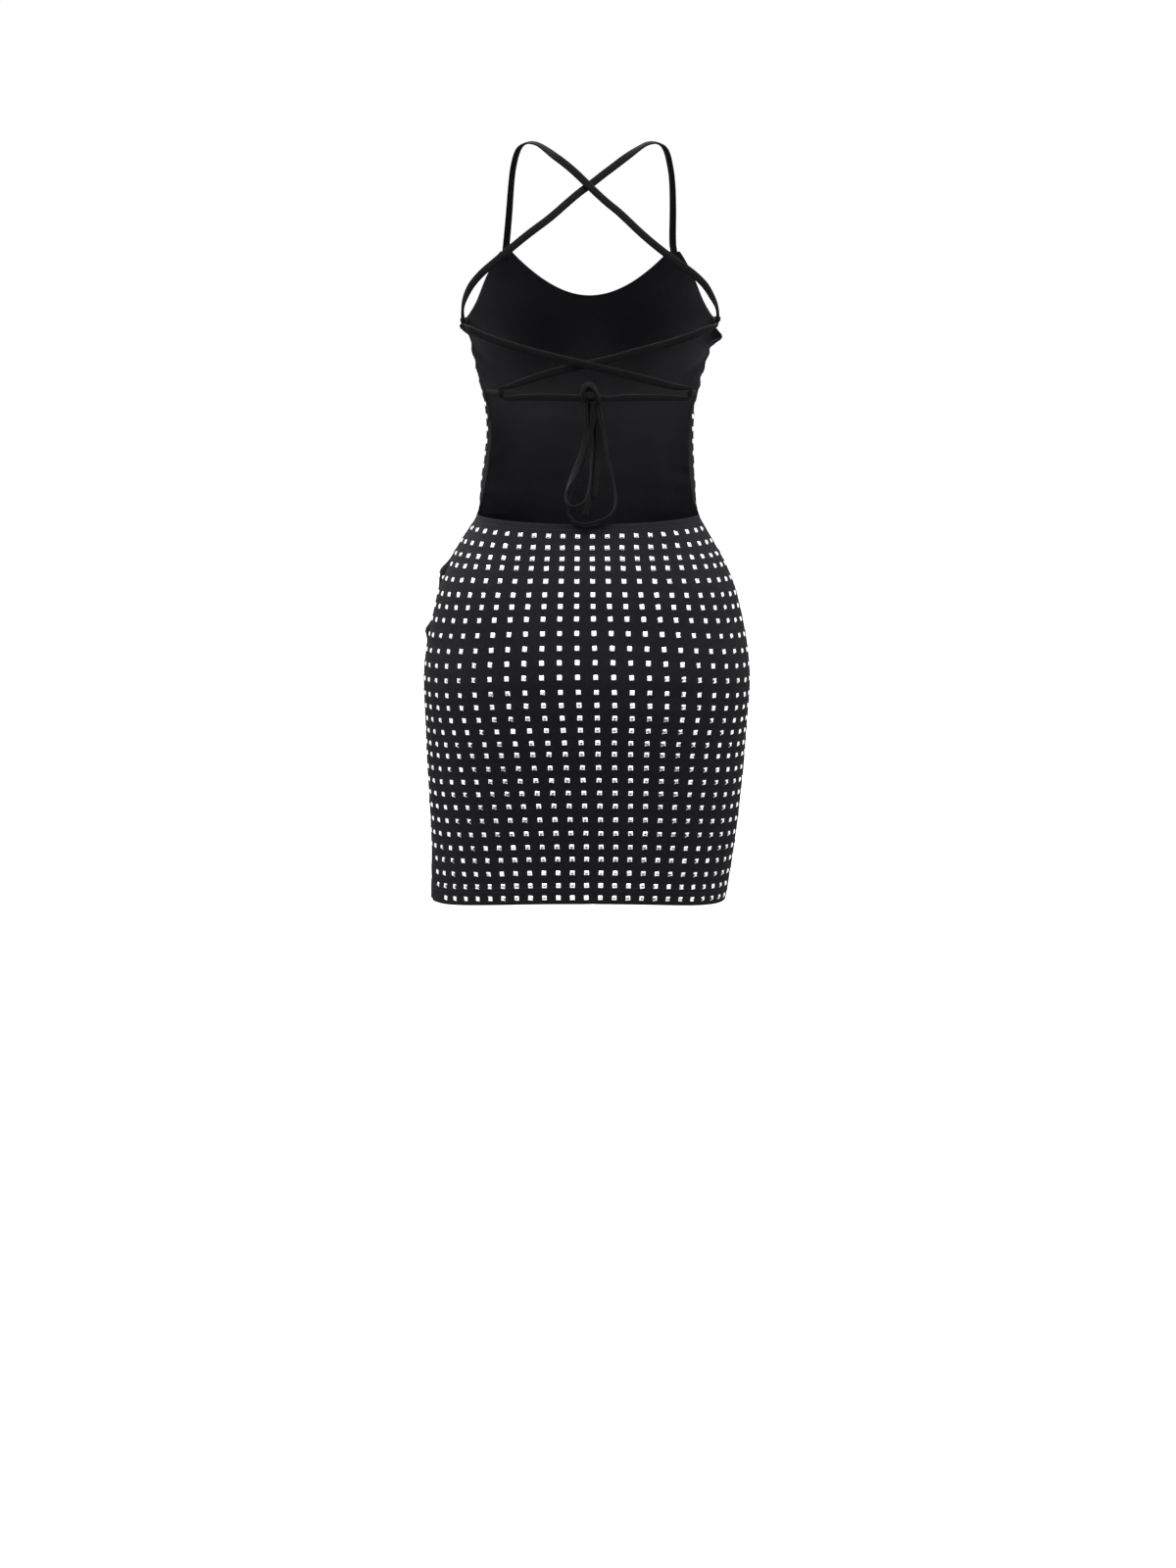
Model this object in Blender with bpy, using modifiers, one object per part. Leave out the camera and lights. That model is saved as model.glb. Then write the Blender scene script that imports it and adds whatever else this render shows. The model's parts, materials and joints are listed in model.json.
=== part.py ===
"""Bodycon mini dress with an open back that two long straps lace together.

Metres, +Z up. The wearer faces -Y, the wearer's left side is +X, and the open
back faces +Y. The origin lies midway between the tops of the two straps, where
the shoulders carry the dress.

Every cloth piece lies on one smooth figure. A place on it is an angle round the
body (0 = wearer's left side, 90 = centre back, 180 = right side, -90 = centre
front), a height, and a distance out from the figure's surface.
"""
import math
from collections import namedtuple

import bmesh
import bpy
from mathutils import Vector

COLLECTION = "bodycon_dress"


def table(columns, *rows):
    """Short table whose columns have names."""
    row_type = namedtuple("Row", columns)
    return tuple(row_type(*row) for row in rows)


# ---------------------------------------------------------------- driving sizes
CLOTH_WALL = 0.0015          # stretch jersey with its turnings
SEAM_GAP = 0.0003            # parts two pieces at a seam
HEM_HEIGHT = -0.790          # side of the hem, below the strap tops
WAIST_HEIGHT = -0.375        # top edge of the skirt's back
SLIT_HEIGHT = -0.747         # top of the slit at the wearer's left side
SLIT_SPREAD = 6.0            # how far the slit falls open at the hem, in degrees
BACK_LIFT = 0.017            # how far the seat lifts the back hem
SEAT_SHARE = 0.45            # share of the way down the skirt that lifts it
TOP_DIP = 0.0046             # how far the back's top edge dips at its middle
SEAM_ANGLE = 6.0             # side seams, this far behind the side line
SQUARENESS = 0.02            # fills the corners of the oval sections

LACE_WIDTH = 0.0078          # flat sewn tube of the straps and the bow
LACE_THICK = 0.0024
LACE_BUNCHED = 0.0034        # the same tube drawn together inside a loop
LACE_REST = 0.0016           # centre of a flat strap above the figure
STRAP_GAP = 0.0008           # from the end of a strap to the corner it is sewn to
STRAP_STRAIGHT = 0.014       # straight stretch of a strap above its corner
LACE_SIDES = 6
LACE_STEP = 0.006            # about the stretch between two sections of a strap

LOOP_TALL = 0.0046           # fabric loops that hold the straps
LOOP_WALL = 0.0010
# centre line of the loop's wall: round the strap, and at its sewn end
LOOP_ARC, NOSE_ARC = table("radius first last points", (0.00255, 100.0, -100.0, 9), (0.0007, 260.0, 100.0, 5))
LOOP_OUT = 0.0034            # centre of the bunched strap above the figure
LOOP_SEWN_OUT = 0.0016       # centre of the sewn end above the figure

STRAP_END_HEIGHT = -0.2532   # where the straps slip into the knot
STRAP_END_OUT = 0.0040
STRAP_END_BUNCHED = 0.40

KNOT_CENTRE_X = -0.0015
KNOT_HALF_WIDTH = 0.0094
KNOT_CENTRE_OUT = 0.0070
KNOT_TOP = -0.2385
KNOT_BOTTOM = -0.2572

JERSEY_BLACK = (0.016, 0.016, 0.019, 1.0)
LACE_BLACK = (0.010, 0.010, 0.011, 1.0)

# ---------------------------------------------------------------- the figure
# Level sections: sideways shift, half width, the side line's place along Y, and
# the depth behind and in front of that line.
FIGURE = table(
    "height shift half_width side_y back front",
    (0.000, 0.000, 0.105, 0.000, 0.020, 0.030),
    (-0.020, 0.000, 0.130, 0.000, 0.028, 0.045),
    (-0.045, -0.001, 0.146, 0.000, 0.036, 0.062),
    (-0.075, -0.002, 0.150, 0.000, 0.046, 0.080),
    (-0.105, -0.002, 0.146, 0.000, 0.053, 0.094),
    (-0.130, -0.002, 0.138, 0.000, 0.058, 0.104),
    (-0.155, -0.002, 0.130, 0.000, 0.061, 0.112),
    (-0.180, -0.0025, 0.1270, 0.000, 0.062, 0.118),
    (-0.205, -0.003, 0.1205, 0.000, 0.061, 0.121),
    (-0.225, -0.002, 0.1152, 0.000, 0.058, 0.121),
    (-0.245, -0.002, 0.1110, 0.000, 0.056, 0.119),
    (-0.265, -0.002, 0.1075, 0.000, 0.055, 0.114),
    (-0.290, -0.002, 0.1065, 0.000, 0.055, 0.108),
    (-0.315, -0.001, 0.1080, 0.000, 0.058, 0.104),
    (-0.345, 0.000, 0.1112, 0.001, 0.066, 0.102),
    (-0.375, 0.000, 0.1150, 0.002, 0.077, 0.103),
    (-0.400, 0.001, 0.1295, 0.003, 0.087, 0.106),
    (-0.425, 0.001, 0.1440, 0.004, 0.097, 0.109),
    (-0.450, 0.001, 0.1545, 0.005, 0.105, 0.111),
    (-0.480, 0.001, 0.1620, 0.005, 0.112, 0.112),
    (-0.515, 0.001, 0.1690, 0.005, 0.118, 0.112),
    (-0.550, 0.001, 0.1720, 0.005, 0.120, 0.111),
    (-0.600, 0.002, 0.1703, 0.004, 0.116, 0.109),
    (-0.660, 0.003, 0.1675, 0.003, 0.108, 0.106),
    (-0.720, 0.005, 0.1635, 0.002, 0.101, 0.103),
    (-0.790, 0.0105, 0.1585, 0.001, 0.097, 0.101),
)
BUST_HEIGHT = -0.228
BUST_APEX = 0.072            # from the centre front to the fullest point
BUST_FULLNESS = 0.022
BUST_SPREAD = 0.046

# The centre back seam swings a little at the hem.
BACK_SEAM = table(
    "height angle",
    (-0.375, 89.0),
    (-0.480, 89.3),
    (-0.550, 89.9),
    (-0.650, 91.7),
    (-0.720, 93.2),
    (-0.790, 94.8),
)

# How far the front's side edges reach behind the side line, in degrees.
FRONT_EDGE = table(
    "height left right",
    (-0.173, -4.0, -4.0),
    (-0.190, -1.0, -1.0),
    (-0.205, 4.0, 2.0),
    (-0.220, 9.0, 4.0),
    (-0.235, 15.0, 8.0),
    (-0.245, 19.0, 13.0),
    (-0.256, 20.5, 18.0),
    (-0.270, 21.0, 20.0),
    (-0.300, 22.0, 22.0),
    (-0.335, 21.0, 22.0),
    (-0.350, 19.5, 20.0),
    (-0.362, 15.0, 17.0),
    (-0.371, 9.5, 11.0),
    (-0.375, 6.0, 6.0),
    (-0.790, 6.0, 6.0),
)

# Outline of the front's top: share of the way from the centre front to the side.
NECK_HEIGHT = -0.150
CORNER_HEIGHT = -0.105
ARM_HEIGHT = -0.173
CORNER_SHARES = (0.375, 0.445)
FRONT_SHARES = (
    0.0, 0.075, 0.15, 0.225, 0.30, 0.375, 0.41, 0.445,
    0.52, 0.60, 0.68, 0.76, 0.84, 0.90, 0.95, 1.0,
)
# Bands of rows, each from the end of the one above.
BODICE_BANDS = table("end count", (-0.205, 12), (-0.268, 15), (WAIST_HEIGHT, 8))
SKIRT_BANDS = table("end count", (-0.520, 14), (HEM_HEIGHT, 14))

# Folds of the front: side (1 = wearer's left), height at the side edge, how far
# it stands out, half its height, how far round it runs in degrees, and how much
# it falls over that run.
FOLDS = table(
    "side height stand half_tall run fall",
    (1, -0.1805, 0.0078, 0.0052, 34.0, 0.020),
    (1, -0.207, 0.0018, 0.0065, 26.0, 0.010),
    (1, -0.223, 0.0018, 0.0065, 24.0, 0.004),
    (1, -0.240, 0.0020, 0.0060, 26.0, -0.004),
    (1, -0.256, 0.0016, 0.0060, 24.0, -0.010),
    (-1, -0.1745, 0.0042, 0.0045, 22.0, 0.016),
    (-1, -0.1900, 0.0108, 0.0075, 30.0, 0.018),
    (-1, -0.2085, 0.0018, 0.0060, 26.0, 0.008),
    (-1, -0.2245, 0.0018, 0.0065, 24.0, 0.002),
    (-1, -0.2425, 0.0020, 0.0060, 26.0, -0.005),
    (-1, -0.2590, 0.0016, 0.0060, 24.0, -0.010),
    (1, -0.4340, 0.0050, 0.0110, 46.0, 0.022),
    (1, -0.4960, 0.0045, 0.0090, 50.0, 0.016),
)
FOLD_START = 5.0             # degrees over which a skirt fold rises from the side seam
FOLD_LEAD = 1.5              # degrees by which it has already risen at the seam
FOLD_NARROW = 0.75           # share of a fold's height at its start
FOLD_WIDEN = 0.60            # share that it gains over its run

BACK_COLUMNS = 12

# ---------------------------------------------------------------- the straps
# Over the shoulder, for the strap that starts on the wearer's left.
SHOULDER = table(
    "x y z",
    (0.0840, -0.0470, -0.0400),
    (0.0800, -0.0300, -0.0170),
    (0.0745, -0.0150, -0.0040),
    (0.0665, -0.0020, 0.0000),
    (0.0585, 0.0080, -0.0006),
    (0.0500, 0.0160, -0.0048),
)
SHOULDER_SHIFT = -0.004      # the shoulders' middle, along X
SHOULDER_CENTRE = (0.035, 0.0, -0.090)      # the strap faces away from here

# On the back, with the share by which the strap is bunched. This one runs from
# the left shoulder to the right bust loop, crosses back to the left waist loop
# and ends at the knot.
STRAP_LEFT = table(
    "angle height out bunched",
    (76.3, -0.0166, 0.0026, 0.0),
    (79.8, -0.0222, 0.0036, 0.0),
    (84.7, -0.0321, 0.0046, 0.0),
    (89.1, -0.0432, 0.0046, 0.0),
    (93.0, -0.0537, 0.0040, 0.0),
    (96.4, -0.0621, 0.0026, 0.0),
    (100.4, -0.0711, LACE_REST, 0.0),
    (107.3, -0.0880, LACE_REST, 0.0),
    (114.4, -0.1021, LACE_REST, 0.0),
    (125.3, -0.1186, LACE_REST, 0.0),
    (136.5, -0.1306, LACE_REST, 0.0),
    (147.4, -0.1411, LACE_REST, 0.0),
    (158.2, -0.1516, 0.0018, 0.1),
    (168.0, -0.1600, 0.0024, 0.4),
    (175.0, -0.1670, 0.0031, 0.8),
    (178.1, -0.1713, LOOP_OUT, 1.0),
    (178.1, -0.1745, LOOP_OUT, 1.0),
    (178.1, -0.1778, LOOP_OUT, 1.0),
    (175.0, -0.1800, 0.0034, 1.0),
    (168.5, -0.1818, 0.0030, 0.8),
    (160.5, -0.1838, 0.0024, 0.4),
    (152.6, -0.1868, 0.0018, 0.1),
    (142.9, -0.1913, LACE_REST, 0.0),
    (131.9, -0.1964, LACE_REST, 0.0),
    (122.3, -0.2013, LACE_REST, 0.0),
    (111.4, -0.2071, LACE_REST, 0.0),
    (101.4, -0.2129, LACE_REST, 0.0),
    (89.7, -0.2190, LACE_REST, 0.0),
    (77.6, -0.2252, LACE_REST, 0.0),
    (67.0, -0.2307, LACE_REST, 0.0),
    (58.0, -0.2358, LACE_REST, 0.1),
    (50.0, -0.2400, 0.0018, 0.3),
    (44.6, -0.2423, 0.0026, 0.7),
    (40.2, -0.2434, LOOP_OUT, 1.0),
    (38.2, -0.2451, LOOP_OUT, 1.0),
    (38.2, -0.2482, LOOP_OUT, 1.0),
    (38.2, -0.2513, LOOP_OUT, 1.0),
    (40.2, -0.2530, LOOP_OUT, 1.0),
    (44.8, -0.2536, 0.0026, 0.7),
    (52.7, -0.2530, 0.0018, 0.4),
    (65.9, -0.2526, LACE_REST, 0.2),
    (75.4, -0.2529, LACE_REST, 0.15),
    (80.5, -0.2530, 0.0020, 0.15),
)
# The other runs from the right shoulder to the left bust loop, crosses back to
# the right waist loop and meets the knot from the other side.
STRAP_RIGHT = table(
    "angle height out bunched",
    (105.0, -0.0182, LACE_REST, 0.0),
    (101.1, -0.0240, LACE_REST, 0.0),
    (96.3, -0.0321, LACE_REST, 0.0),
    (90.6, -0.0434, LACE_REST, 0.0),
    (86.0, -0.0526, LACE_REST, 0.0),
    (81.0, -0.0638, LACE_REST, 0.0),
    (75.2, -0.0768, LACE_REST, 0.0),
    (68.0, -0.0905, LACE_REST, 0.0),
    (58.8, -0.1064, LACE_REST, 0.0),
    (50.2, -0.1184, LACE_REST, 0.0),
    (40.6, -0.1294, LACE_REST, 0.0),
    (29.9, -0.1408, 0.0018, 0.0),
    (19.0, -0.1518, 0.0024, 0.1),
    (10.5, -0.1602, 0.0030, 0.4),
    (4.6, -0.1675, 0.0033, 0.8),
    (1.9, -0.1722, LOOP_OUT, 1.0),
    (1.9, -0.1755, LOOP_OUT, 1.0),
    (1.9, -0.1788, LOOP_OUT, 1.0),
    (5.2, -0.1806, 0.0034, 1.0),
    (11.5, -0.1820, 0.0031, 0.8),
    (18.8, -0.1842, 0.0026, 0.4),
    (26.2, -0.1880, 0.0019, 0.1),
    (35.6, -0.1932, LACE_REST, 0.0),
    (44.5, -0.1980, LACE_REST, 0.0),
    (56.6, -0.2040, LACE_REST, 0.0),
    (67.8, -0.2096, LACE_REST, 0.0),
    (78.2, -0.2148, 0.0030, 0.0),
    (83.6, -0.2173, 0.0044, 0.0),
    (89.3, -0.2200, 0.0047, 0.0),
    (95.5, -0.2232, 0.0044, 0.0),
    (102.1, -0.2268, 0.0030, 0.0),
    (109.5, -0.2307, 0.0018, 0.0),
    (119.6, -0.2358, LACE_REST, 0.0),
    (131.0, -0.2403, LACE_REST, 0.1),
    (140.0, -0.2428, 0.0018, 0.3),
    (146.9, -0.2431, 0.0026, 0.7),
    (151.5, -0.2441, LOOP_OUT, 1.0),
    (153.5, -0.2457, LOOP_OUT, 1.0),
    (153.5, -0.2488, LOOP_OUT, 1.0),
    (153.5, -0.2519, LOOP_OUT, 1.0),
    (151.5, -0.2536, LOOP_OUT, 1.0),
    (146.9, -0.2541, 0.0026, 0.7),
    (136.5, -0.2534, 0.0018, 0.4),
    (120.7, -0.2531, LACE_REST, 0.2),
    (108.4, -0.2533, LACE_REST, 0.2),
    (103.5, -0.2536, 0.0018, 0.4),
    (100.0, -0.2539, 0.0021, 0.6),
)

# Fabric loops sewn to the front's side edges, with the place of the strap inside.
LOOPS = table(
    "name side strap_angle height",
    ("bust_loop_left", 1, 1.9, -0.1755),
    ("bust_loop_right", -1, 178.1, -0.1745),
    ("waist_loop_left", 1, 38.2, -0.2482),
    ("waist_loop_right", -1, 153.5, -0.2488),
)

# Bow strands below the knot: the turn of the flat lace is 0 flat on the back and
# 90 edge on, and the share is of the lace's width.
BOW_COLUMNS = "x height out turn share"
BOW = {
    "bow_tail_right": table(
        BOW_COLUMNS,
        (-0.0072, -0.2577, 0.0062, 0.0, 0.46),
        (-0.0072, -0.2620, 0.0062, 0.0, 0.46),
        (-0.0071, -0.2676, 0.0062, 0.0, 0.50),
        (-0.0088, -0.2765, 0.0060, 0.0, 0.64),
        (-0.0102, -0.2846, 0.0058, 0.0, 0.72),
        (-0.0110, -0.2937, 0.0056, 0.0, 0.75),
        (-0.0111, -0.3027, 0.0055, 0.0, 0.75),
        (-0.0107, -0.3109, 0.0054, 0.0, 0.75),
        (-0.0100, -0.3191, 0.0053, 0.0, 0.74),
        (-0.0089, -0.3280, 0.0052, 0.0, 0.72),
        (-0.0080, -0.3369, 0.0052, 0.0, 0.70),
        (-0.0071, -0.3457, 0.0052, 0.0, 0.66),
        (-0.0065, -0.3545, 0.0052, 0.0, 0.60),
    ),
    "bow_tail_left": table(
        BOW_COLUMNS,
        (-0.0046, -0.2577, 0.0024, 0.0, 0.58),
        (-0.0046, -0.2620, 0.0024, 0.0, 0.58),
        (-0.0050, -0.2708, 0.0024, 0.0, 0.60),
        (-0.0062, -0.2807, 0.0024, 0.0, 0.62),
        (-0.0078, -0.2897, 0.0024, 0.0, 0.62),
        (-0.0083, -0.2976, 0.0024, 0.0, 0.62),
        (-0.0076, -0.3066, 0.0024, 0.0, 0.64),
        (-0.0069, -0.3166, 0.0024, 0.0, 0.66),
        (-0.0061, -0.3264, 0.0024, 0.0, 0.68),
        (-0.0052, -0.3362, 0.0024, 0.0, 0.70),
        (-0.0041, -0.3459, 0.0024, 0.0, 0.70),
        (-0.0024, -0.3537, 0.0024, 0.0, 0.68),
        (-0.0004, -0.3605, 0.0024, 0.0, 0.66),
        (0.0011, -0.3653, 0.0024, 0.0, 0.64),
        (0.0030, -0.3713, 0.0024, 0.0, 0.72),
    ),
    "bow_loop_small": table(
        BOW_COLUMNS,
        (0.0015, -0.2577, 0.0112, 0.0, 0.42),
        (0.0015, -0.2620, 0.0113, 0.0, 0.42),
        (0.0012, -0.2712, 0.0116, 0.0, 0.45),
        (0.0012, -0.2802, 0.0118, 4.0, 0.48),
        (0.0019, -0.2887, 0.0120, 8.0, 0.54),
        (0.0028, -0.2969, 0.0122, 12.0, 0.62),
        (0.0052, -0.3075, 0.0125, 18.0, 0.84),
        (0.0081, -0.3184, 0.0128, 22.0, 0.95),
        (0.0120, -0.3288, 0.0130, 25.0, 1.00),
        (0.0162, -0.3390, 0.0133, 42.0, 1.00),
        (0.0184, -0.3439, 0.0135, 58.0, 1.00),
        (0.0202, -0.3490, 0.0136, 74.0, 1.00),
        (0.0214, -0.3540, 0.0137, 86.0, 1.00),
        (0.0214, -0.3590, 0.0138, 90.0, 1.00),
        (0.0193, -0.3637, 0.0138, 90.0, 1.00),
        (0.0150, -0.3663, 0.0138, 90.0, 1.00),
        (0.0099, -0.3660, 0.0138, 90.0, 1.00),
        (0.0052, -0.3631, 0.0136, 90.0, 1.00),
        (0.0014, -0.3573, 0.0132, 90.0, 1.00),
        (-0.0009, -0.3486, 0.0124, 90.0, 1.00),
        (-0.0021, -0.3384, 0.0114, 90.0, 1.00),
        (-0.0029, -0.3282, 0.0104, 90.0, 1.00),
        (-0.0030, -0.3178, 0.0086, 90.0, 0.90),
        (-0.0034, -0.3070, 0.0066, 90.0, 0.70),
        (-0.0028, -0.2967, 0.0054, 90.0, 0.60),
        (-0.0018, -0.2866, 0.0052, 90.0, 0.56),
        (-0.0011, -0.2765, 0.0055, 90.0, 0.58),
        (-0.0009, -0.2666, 0.0055, 90.0, 0.58),
        (-0.0009, -0.2620, 0.0055, 90.0, 0.58),
        (-0.0009, -0.2577, 0.0055, 90.0, 0.58),
    ),
    "bow_loop_large": table(
        BOW_COLUMNS,
        (-0.0104, -0.2577, 0.0062, 90.0, 0.70),
        (-0.0107, -0.2620, 0.0062, 90.0, 0.72),
        (-0.0123, -0.2666, 0.0062, 90.0, 0.80),
        (-0.0133, -0.2725, 0.0062, 90.0, 0.90),
        (-0.0145, -0.2795, 0.0062, 90.0, 1.00),
        (-0.0158, -0.2876, 0.0062, 90.0, 1.00),
        (-0.0172, -0.2967, 0.0062, 90.0, 1.00),
        (-0.0185, -0.3069, 0.0061, 90.0, 1.00),
        (-0.0201, -0.3172, 0.0060, 90.0, 1.00),
        (-0.0225, -0.3272, 0.0060, 90.0, 1.00),
        (-0.0248, -0.3371, 0.0058, 90.0, 1.00),
        (-0.0266, -0.3469, 0.0058, 90.0, 1.00),
        (-0.0276, -0.3548, 0.0058, 90.0, 1.00),
        (-0.0274, -0.3616, 0.0060, 90.0, 1.00),
        (-0.0256, -0.3673, 0.0062, 90.0, 1.00),
        (-0.0216, -0.3726, 0.0064, 90.0, 1.00),
        (-0.0155, -0.3764, 0.0066, 90.0, 1.00),
        (-0.0077, -0.3793, 0.0068, 90.0, 1.00),
        (0.0000, -0.3810, 0.0068, 90.0, 1.00),
        (0.0068, -0.3811, 0.0066, 90.0, 1.00),
        (0.0123, -0.3789, 0.0062, 90.0, 1.00),
        (0.0165, -0.3750, 0.0058, 90.0, 1.00),
        (0.0189, -0.3701, 0.0055, 90.0, 1.00),
        (0.0198, -0.3648, 0.0053, 90.0, 1.00),
        (0.0189, -0.3594, 0.0053, 90.0, 1.00),
        (0.0171, -0.3536, 0.0054, 90.0, 1.00),
        (0.0143, -0.3468, 0.0056, 90.0, 1.00),
        (0.0108, -0.3381, 0.0060, 90.0, 1.00),
        (0.0073, -0.3293, 0.0066, 90.0, 1.00),
        (0.0036, -0.3205, 0.0076, 84.0, 1.00),
        (0.0018, -0.3140, 0.0090, 70.0, 0.78),
        (0.0005, -0.3072, 0.0099, 50.0, 0.58),
        (-0.0010, -0.2989, 0.0104, 28.0, 0.52),
        (-0.0029, -0.2876, 0.0104, 10.0, 0.62),
        (-0.0046, -0.2772, 0.0106, 0.0, 0.62),
        (-0.0050, -0.2673, 0.0106, 0.0, 0.60),
        (-0.0050, -0.2620, 0.0106, 0.0, 0.58),
        (-0.0050, -0.2577, 0.0106, 0.0, 0.58),
    ),
}

# Knot, from top to bottom.
KNOT_ROWS = table(
    "share half_width half_depth",
    (0.00, 0.0036, 0.0030),
    (0.10, 0.0062, 0.0050),
    (0.28, 0.0085, 0.0063),
    (0.52, KNOT_HALF_WIDTH, 0.0068),
    (0.78, KNOT_HALF_WIDTH, 0.0068),
    (0.93, 0.0090, 0.0066),
    (1.00, 0.0082, 0.0062),
)
KNOT_SIDES = 16
KNOT_SQUARE = 0.75           # 1 gives an oval knot, less a squarer one


# ---------------------------------------------------------------- plain maths
def smooth(rows, height, column):
    """Smooth value of one column of a table whose heights fall."""
    last = len(rows) - 1
    if height >= rows[0].height:
        return getattr(rows[0], column)
    if height <= rows[last].height:
        return getattr(rows[last], column)
    i = next(k for k in range(last) if rows[k + 1].height <= height)

    def slope(k):
        above, below = rows[max(k - 1, 0)], rows[min(k + 1, last)]
        return (getattr(below, column) - getattr(above, column)) / (below.height - above.height)

    span = rows[i + 1].height - rows[i].height
    t = (height - rows[i].height) / span
    return (
        (2 * t ** 3 - 3 * t ** 2 + 1) * getattr(rows[i], column)
        + (t ** 3 - 2 * t ** 2 + t) * span * slope(i)
        + (3 * t ** 2 - 2 * t ** 3) * getattr(rows[i + 1], column)
        + (t ** 3 - t ** 2) * span * slope(i + 1)
    )


def straight(rows, height, column):
    """Value of one column by straight lines between the rows."""
    if height >= rows[0].height:
        return getattr(rows[0], column)
    for above, below in zip(rows, rows[1:]):
        if height >= below.height:
            t = (height - above.height) / (below.height - above.height)
            return getattr(above, column) + t * (getattr(below, column) - getattr(above, column))
    return getattr(rows[-1], column)


def front_reach(side, height):
    """How far the front's edge reaches behind the side line, in degrees."""
    return straight(FRONT_EDGE, height, "left" if side > 0 else "right")


def ease(t):
    """Smooth step from 0 to 1."""
    t = min(max(t, 0.0), 1.0)
    return t * t * (3.0 - 2.0 * t)


def bell(t):
    return math.exp(-t * t)


def squared(t):
    """Sine or cosine made squarer, for the knot's corners."""
    return math.copysign(abs(t) ** KNOT_SQUARE, t)


# ---------------------------------------------------------------- the figure's surface
def figure_point(angle, height, out=0.0):
    """Point of the figure at an angle in degrees and a height, moved outwards."""
    shift, half, side_y = (smooth(FIGURE, height, c) for c in ("shift", "half_width", "side_y"))
    turn = math.radians(angle)
    cos, sin = math.cos(turn), math.sin(turn)
    depth = smooth(FIGURE, height, "back" if sin > 0 else "front")
    x = (half + out) * (cos + SQUARENESS * (cos - math.cos(3 * turn)))
    y = (depth + out) * (sin + SQUARENESS * (sin + math.sin(3 * turn)))
    if sin < 0:
        lobes = sum(bell((x - side * BUST_APEX) / BUST_SPREAD) for side in (-1, 1))
        y -= BUST_FULLNESS * lobes * bell((height - BUST_HEIGHT) / BUST_SPREAD) * sin * sin
    return Vector((shift + x, side_y + y, height))


def figure_normal(angle, height):
    """Unit vector straight out of the figure's surface."""
    step_angle, step_height = 0.5, 0.001
    around = figure_point(angle + step_angle, height) - figure_point(angle - step_angle, height)
    upward = figure_point(angle, height + step_height) - figure_point(angle, height - step_height)
    return around.cross(upward).normalized()


def off_figure(angle, height, out):
    """Point a true distance out from the figure's surface."""
    return figure_point(angle, height) + figure_normal(angle, height) * out


def walk(angle, height, distance):
    """Angle reached after a distance round the body, positive with the angle."""
    rate = (figure_point(angle + 0.5, height) - figure_point(angle - 0.5, height)).length
    middle = angle + 0.5 * distance / rate
    rate = (figure_point(middle + 0.5, height) - figure_point(middle - 0.5, height)).length
    return angle + distance / rate


def angle_at(x, height):
    """Angle of the back at a sideways place."""
    low, high = 1.0, 179.0
    for _ in range(24):
        middle = 0.5 * (low + high)
        if figure_point(middle, height).x > x:
            low = middle
        else:
            high = middle
    return 0.5 * (low + high)


# ---------------------------------------------------------------- making objects
def new_collection(name):
    collection = bpy.data.collections.new(name)
    bpy.context.scene.collection.children.link(collection)
    return collection


def cloth_material(name, colour, roughness):
    material = bpy.data.materials.new(name)
    material.use_nodes = True
    shader = material.node_tree.nodes["Principled BSDF"]
    shader.inputs["Base Color"].default_value = colour
    shader.inputs["Roughness"].default_value = roughness
    shader.inputs["Metallic"].default_value = 0.0
    material.diffuse_color = colour
    return material


def add_object(dress, name, vertices, faces, colour, roughness):
    """Object of one piece, smooth shaded, with its own material."""
    mesh = bpy.data.meshes.new(name)
    mesh.from_pydata([tuple(v) for v in vertices], [], faces)
    mesh.shade_smooth()
    mesh.materials.append(cloth_material(name + "_cloth", colour, roughness))
    piece = bpy.data.objects.new(name, mesh)
    dress["collection"].objects.link(piece)
    piece.parent = dress["origin"]
    return piece


def solidify(piece, thickness, offset):
    shell = piece.modifiers.new("wall", "SOLIDIFY")
    shell.thickness = thickness
    shell.offset = offset
    shell.use_even_offset = True
    return shell


def grid_faces(rows, columns, closed=False):
    """Quads of a grid of points stored row by row, top to bottom."""
    faces = []
    for row in range(rows):
        for column in range(columns if closed else columns - 1):
            right = (column + 1) % columns
            faces.append((
                row * columns + column,
                (row + 1) * columns + column,
                (row + 1) * columns + right,
                row * columns + right,
            ))
    return faces


def panel(dress, name, points, columns):
    """Cloth panel: an open grid on the figure with its wall outside it."""
    rows = len(points) // columns - 1
    piece = add_object(dress, name, points, grid_faces(rows, columns), JERSEY_BLACK, 0.85)
    solidify(piece, CLOTH_WALL, 1.0)
    return piece


# ---------------------------------------------------------------- panels
def fold_swell(side, edge_angle, angle, height):
    """How far the front's folds stand out at a place on one side."""
    swell = 0.0
    inward = edge_angle - angle
    for fold in FOLDS:
        if fold.side != side or inward > fold.run:
            continue
        along = inward / fold.run
        rise = ease((inward + FOLD_LEAD) / FOLD_START) if fold.height < WAIST_HEIGHT else 1.0
        centre = fold.height - fold.fall * along
        half_tall = fold.half_tall * (FOLD_NARROW + FOLD_WIDEN * along)
        swell += fold.stand * rise * (1.0 - ease(along)) * bell((height - centre) / half_tall)
    return swell


def front_top(share):
    """Height of the front's top edge: neckline, strap corner, armhole."""
    inner, outer = CORNER_SHARES
    if share <= inner:
        return NECK_HEIGHT + (CORNER_HEIGHT - NECK_HEIGHT) * (share / inner) ** 2
    if share <= outer:
        return CORNER_HEIGHT
    turn = math.sin(0.5 * math.pi * (share - outer) / (1.0 - outer))
    return CORNER_HEIGHT + (ARM_HEIGHT - CORNER_HEIGHT) * turn


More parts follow.
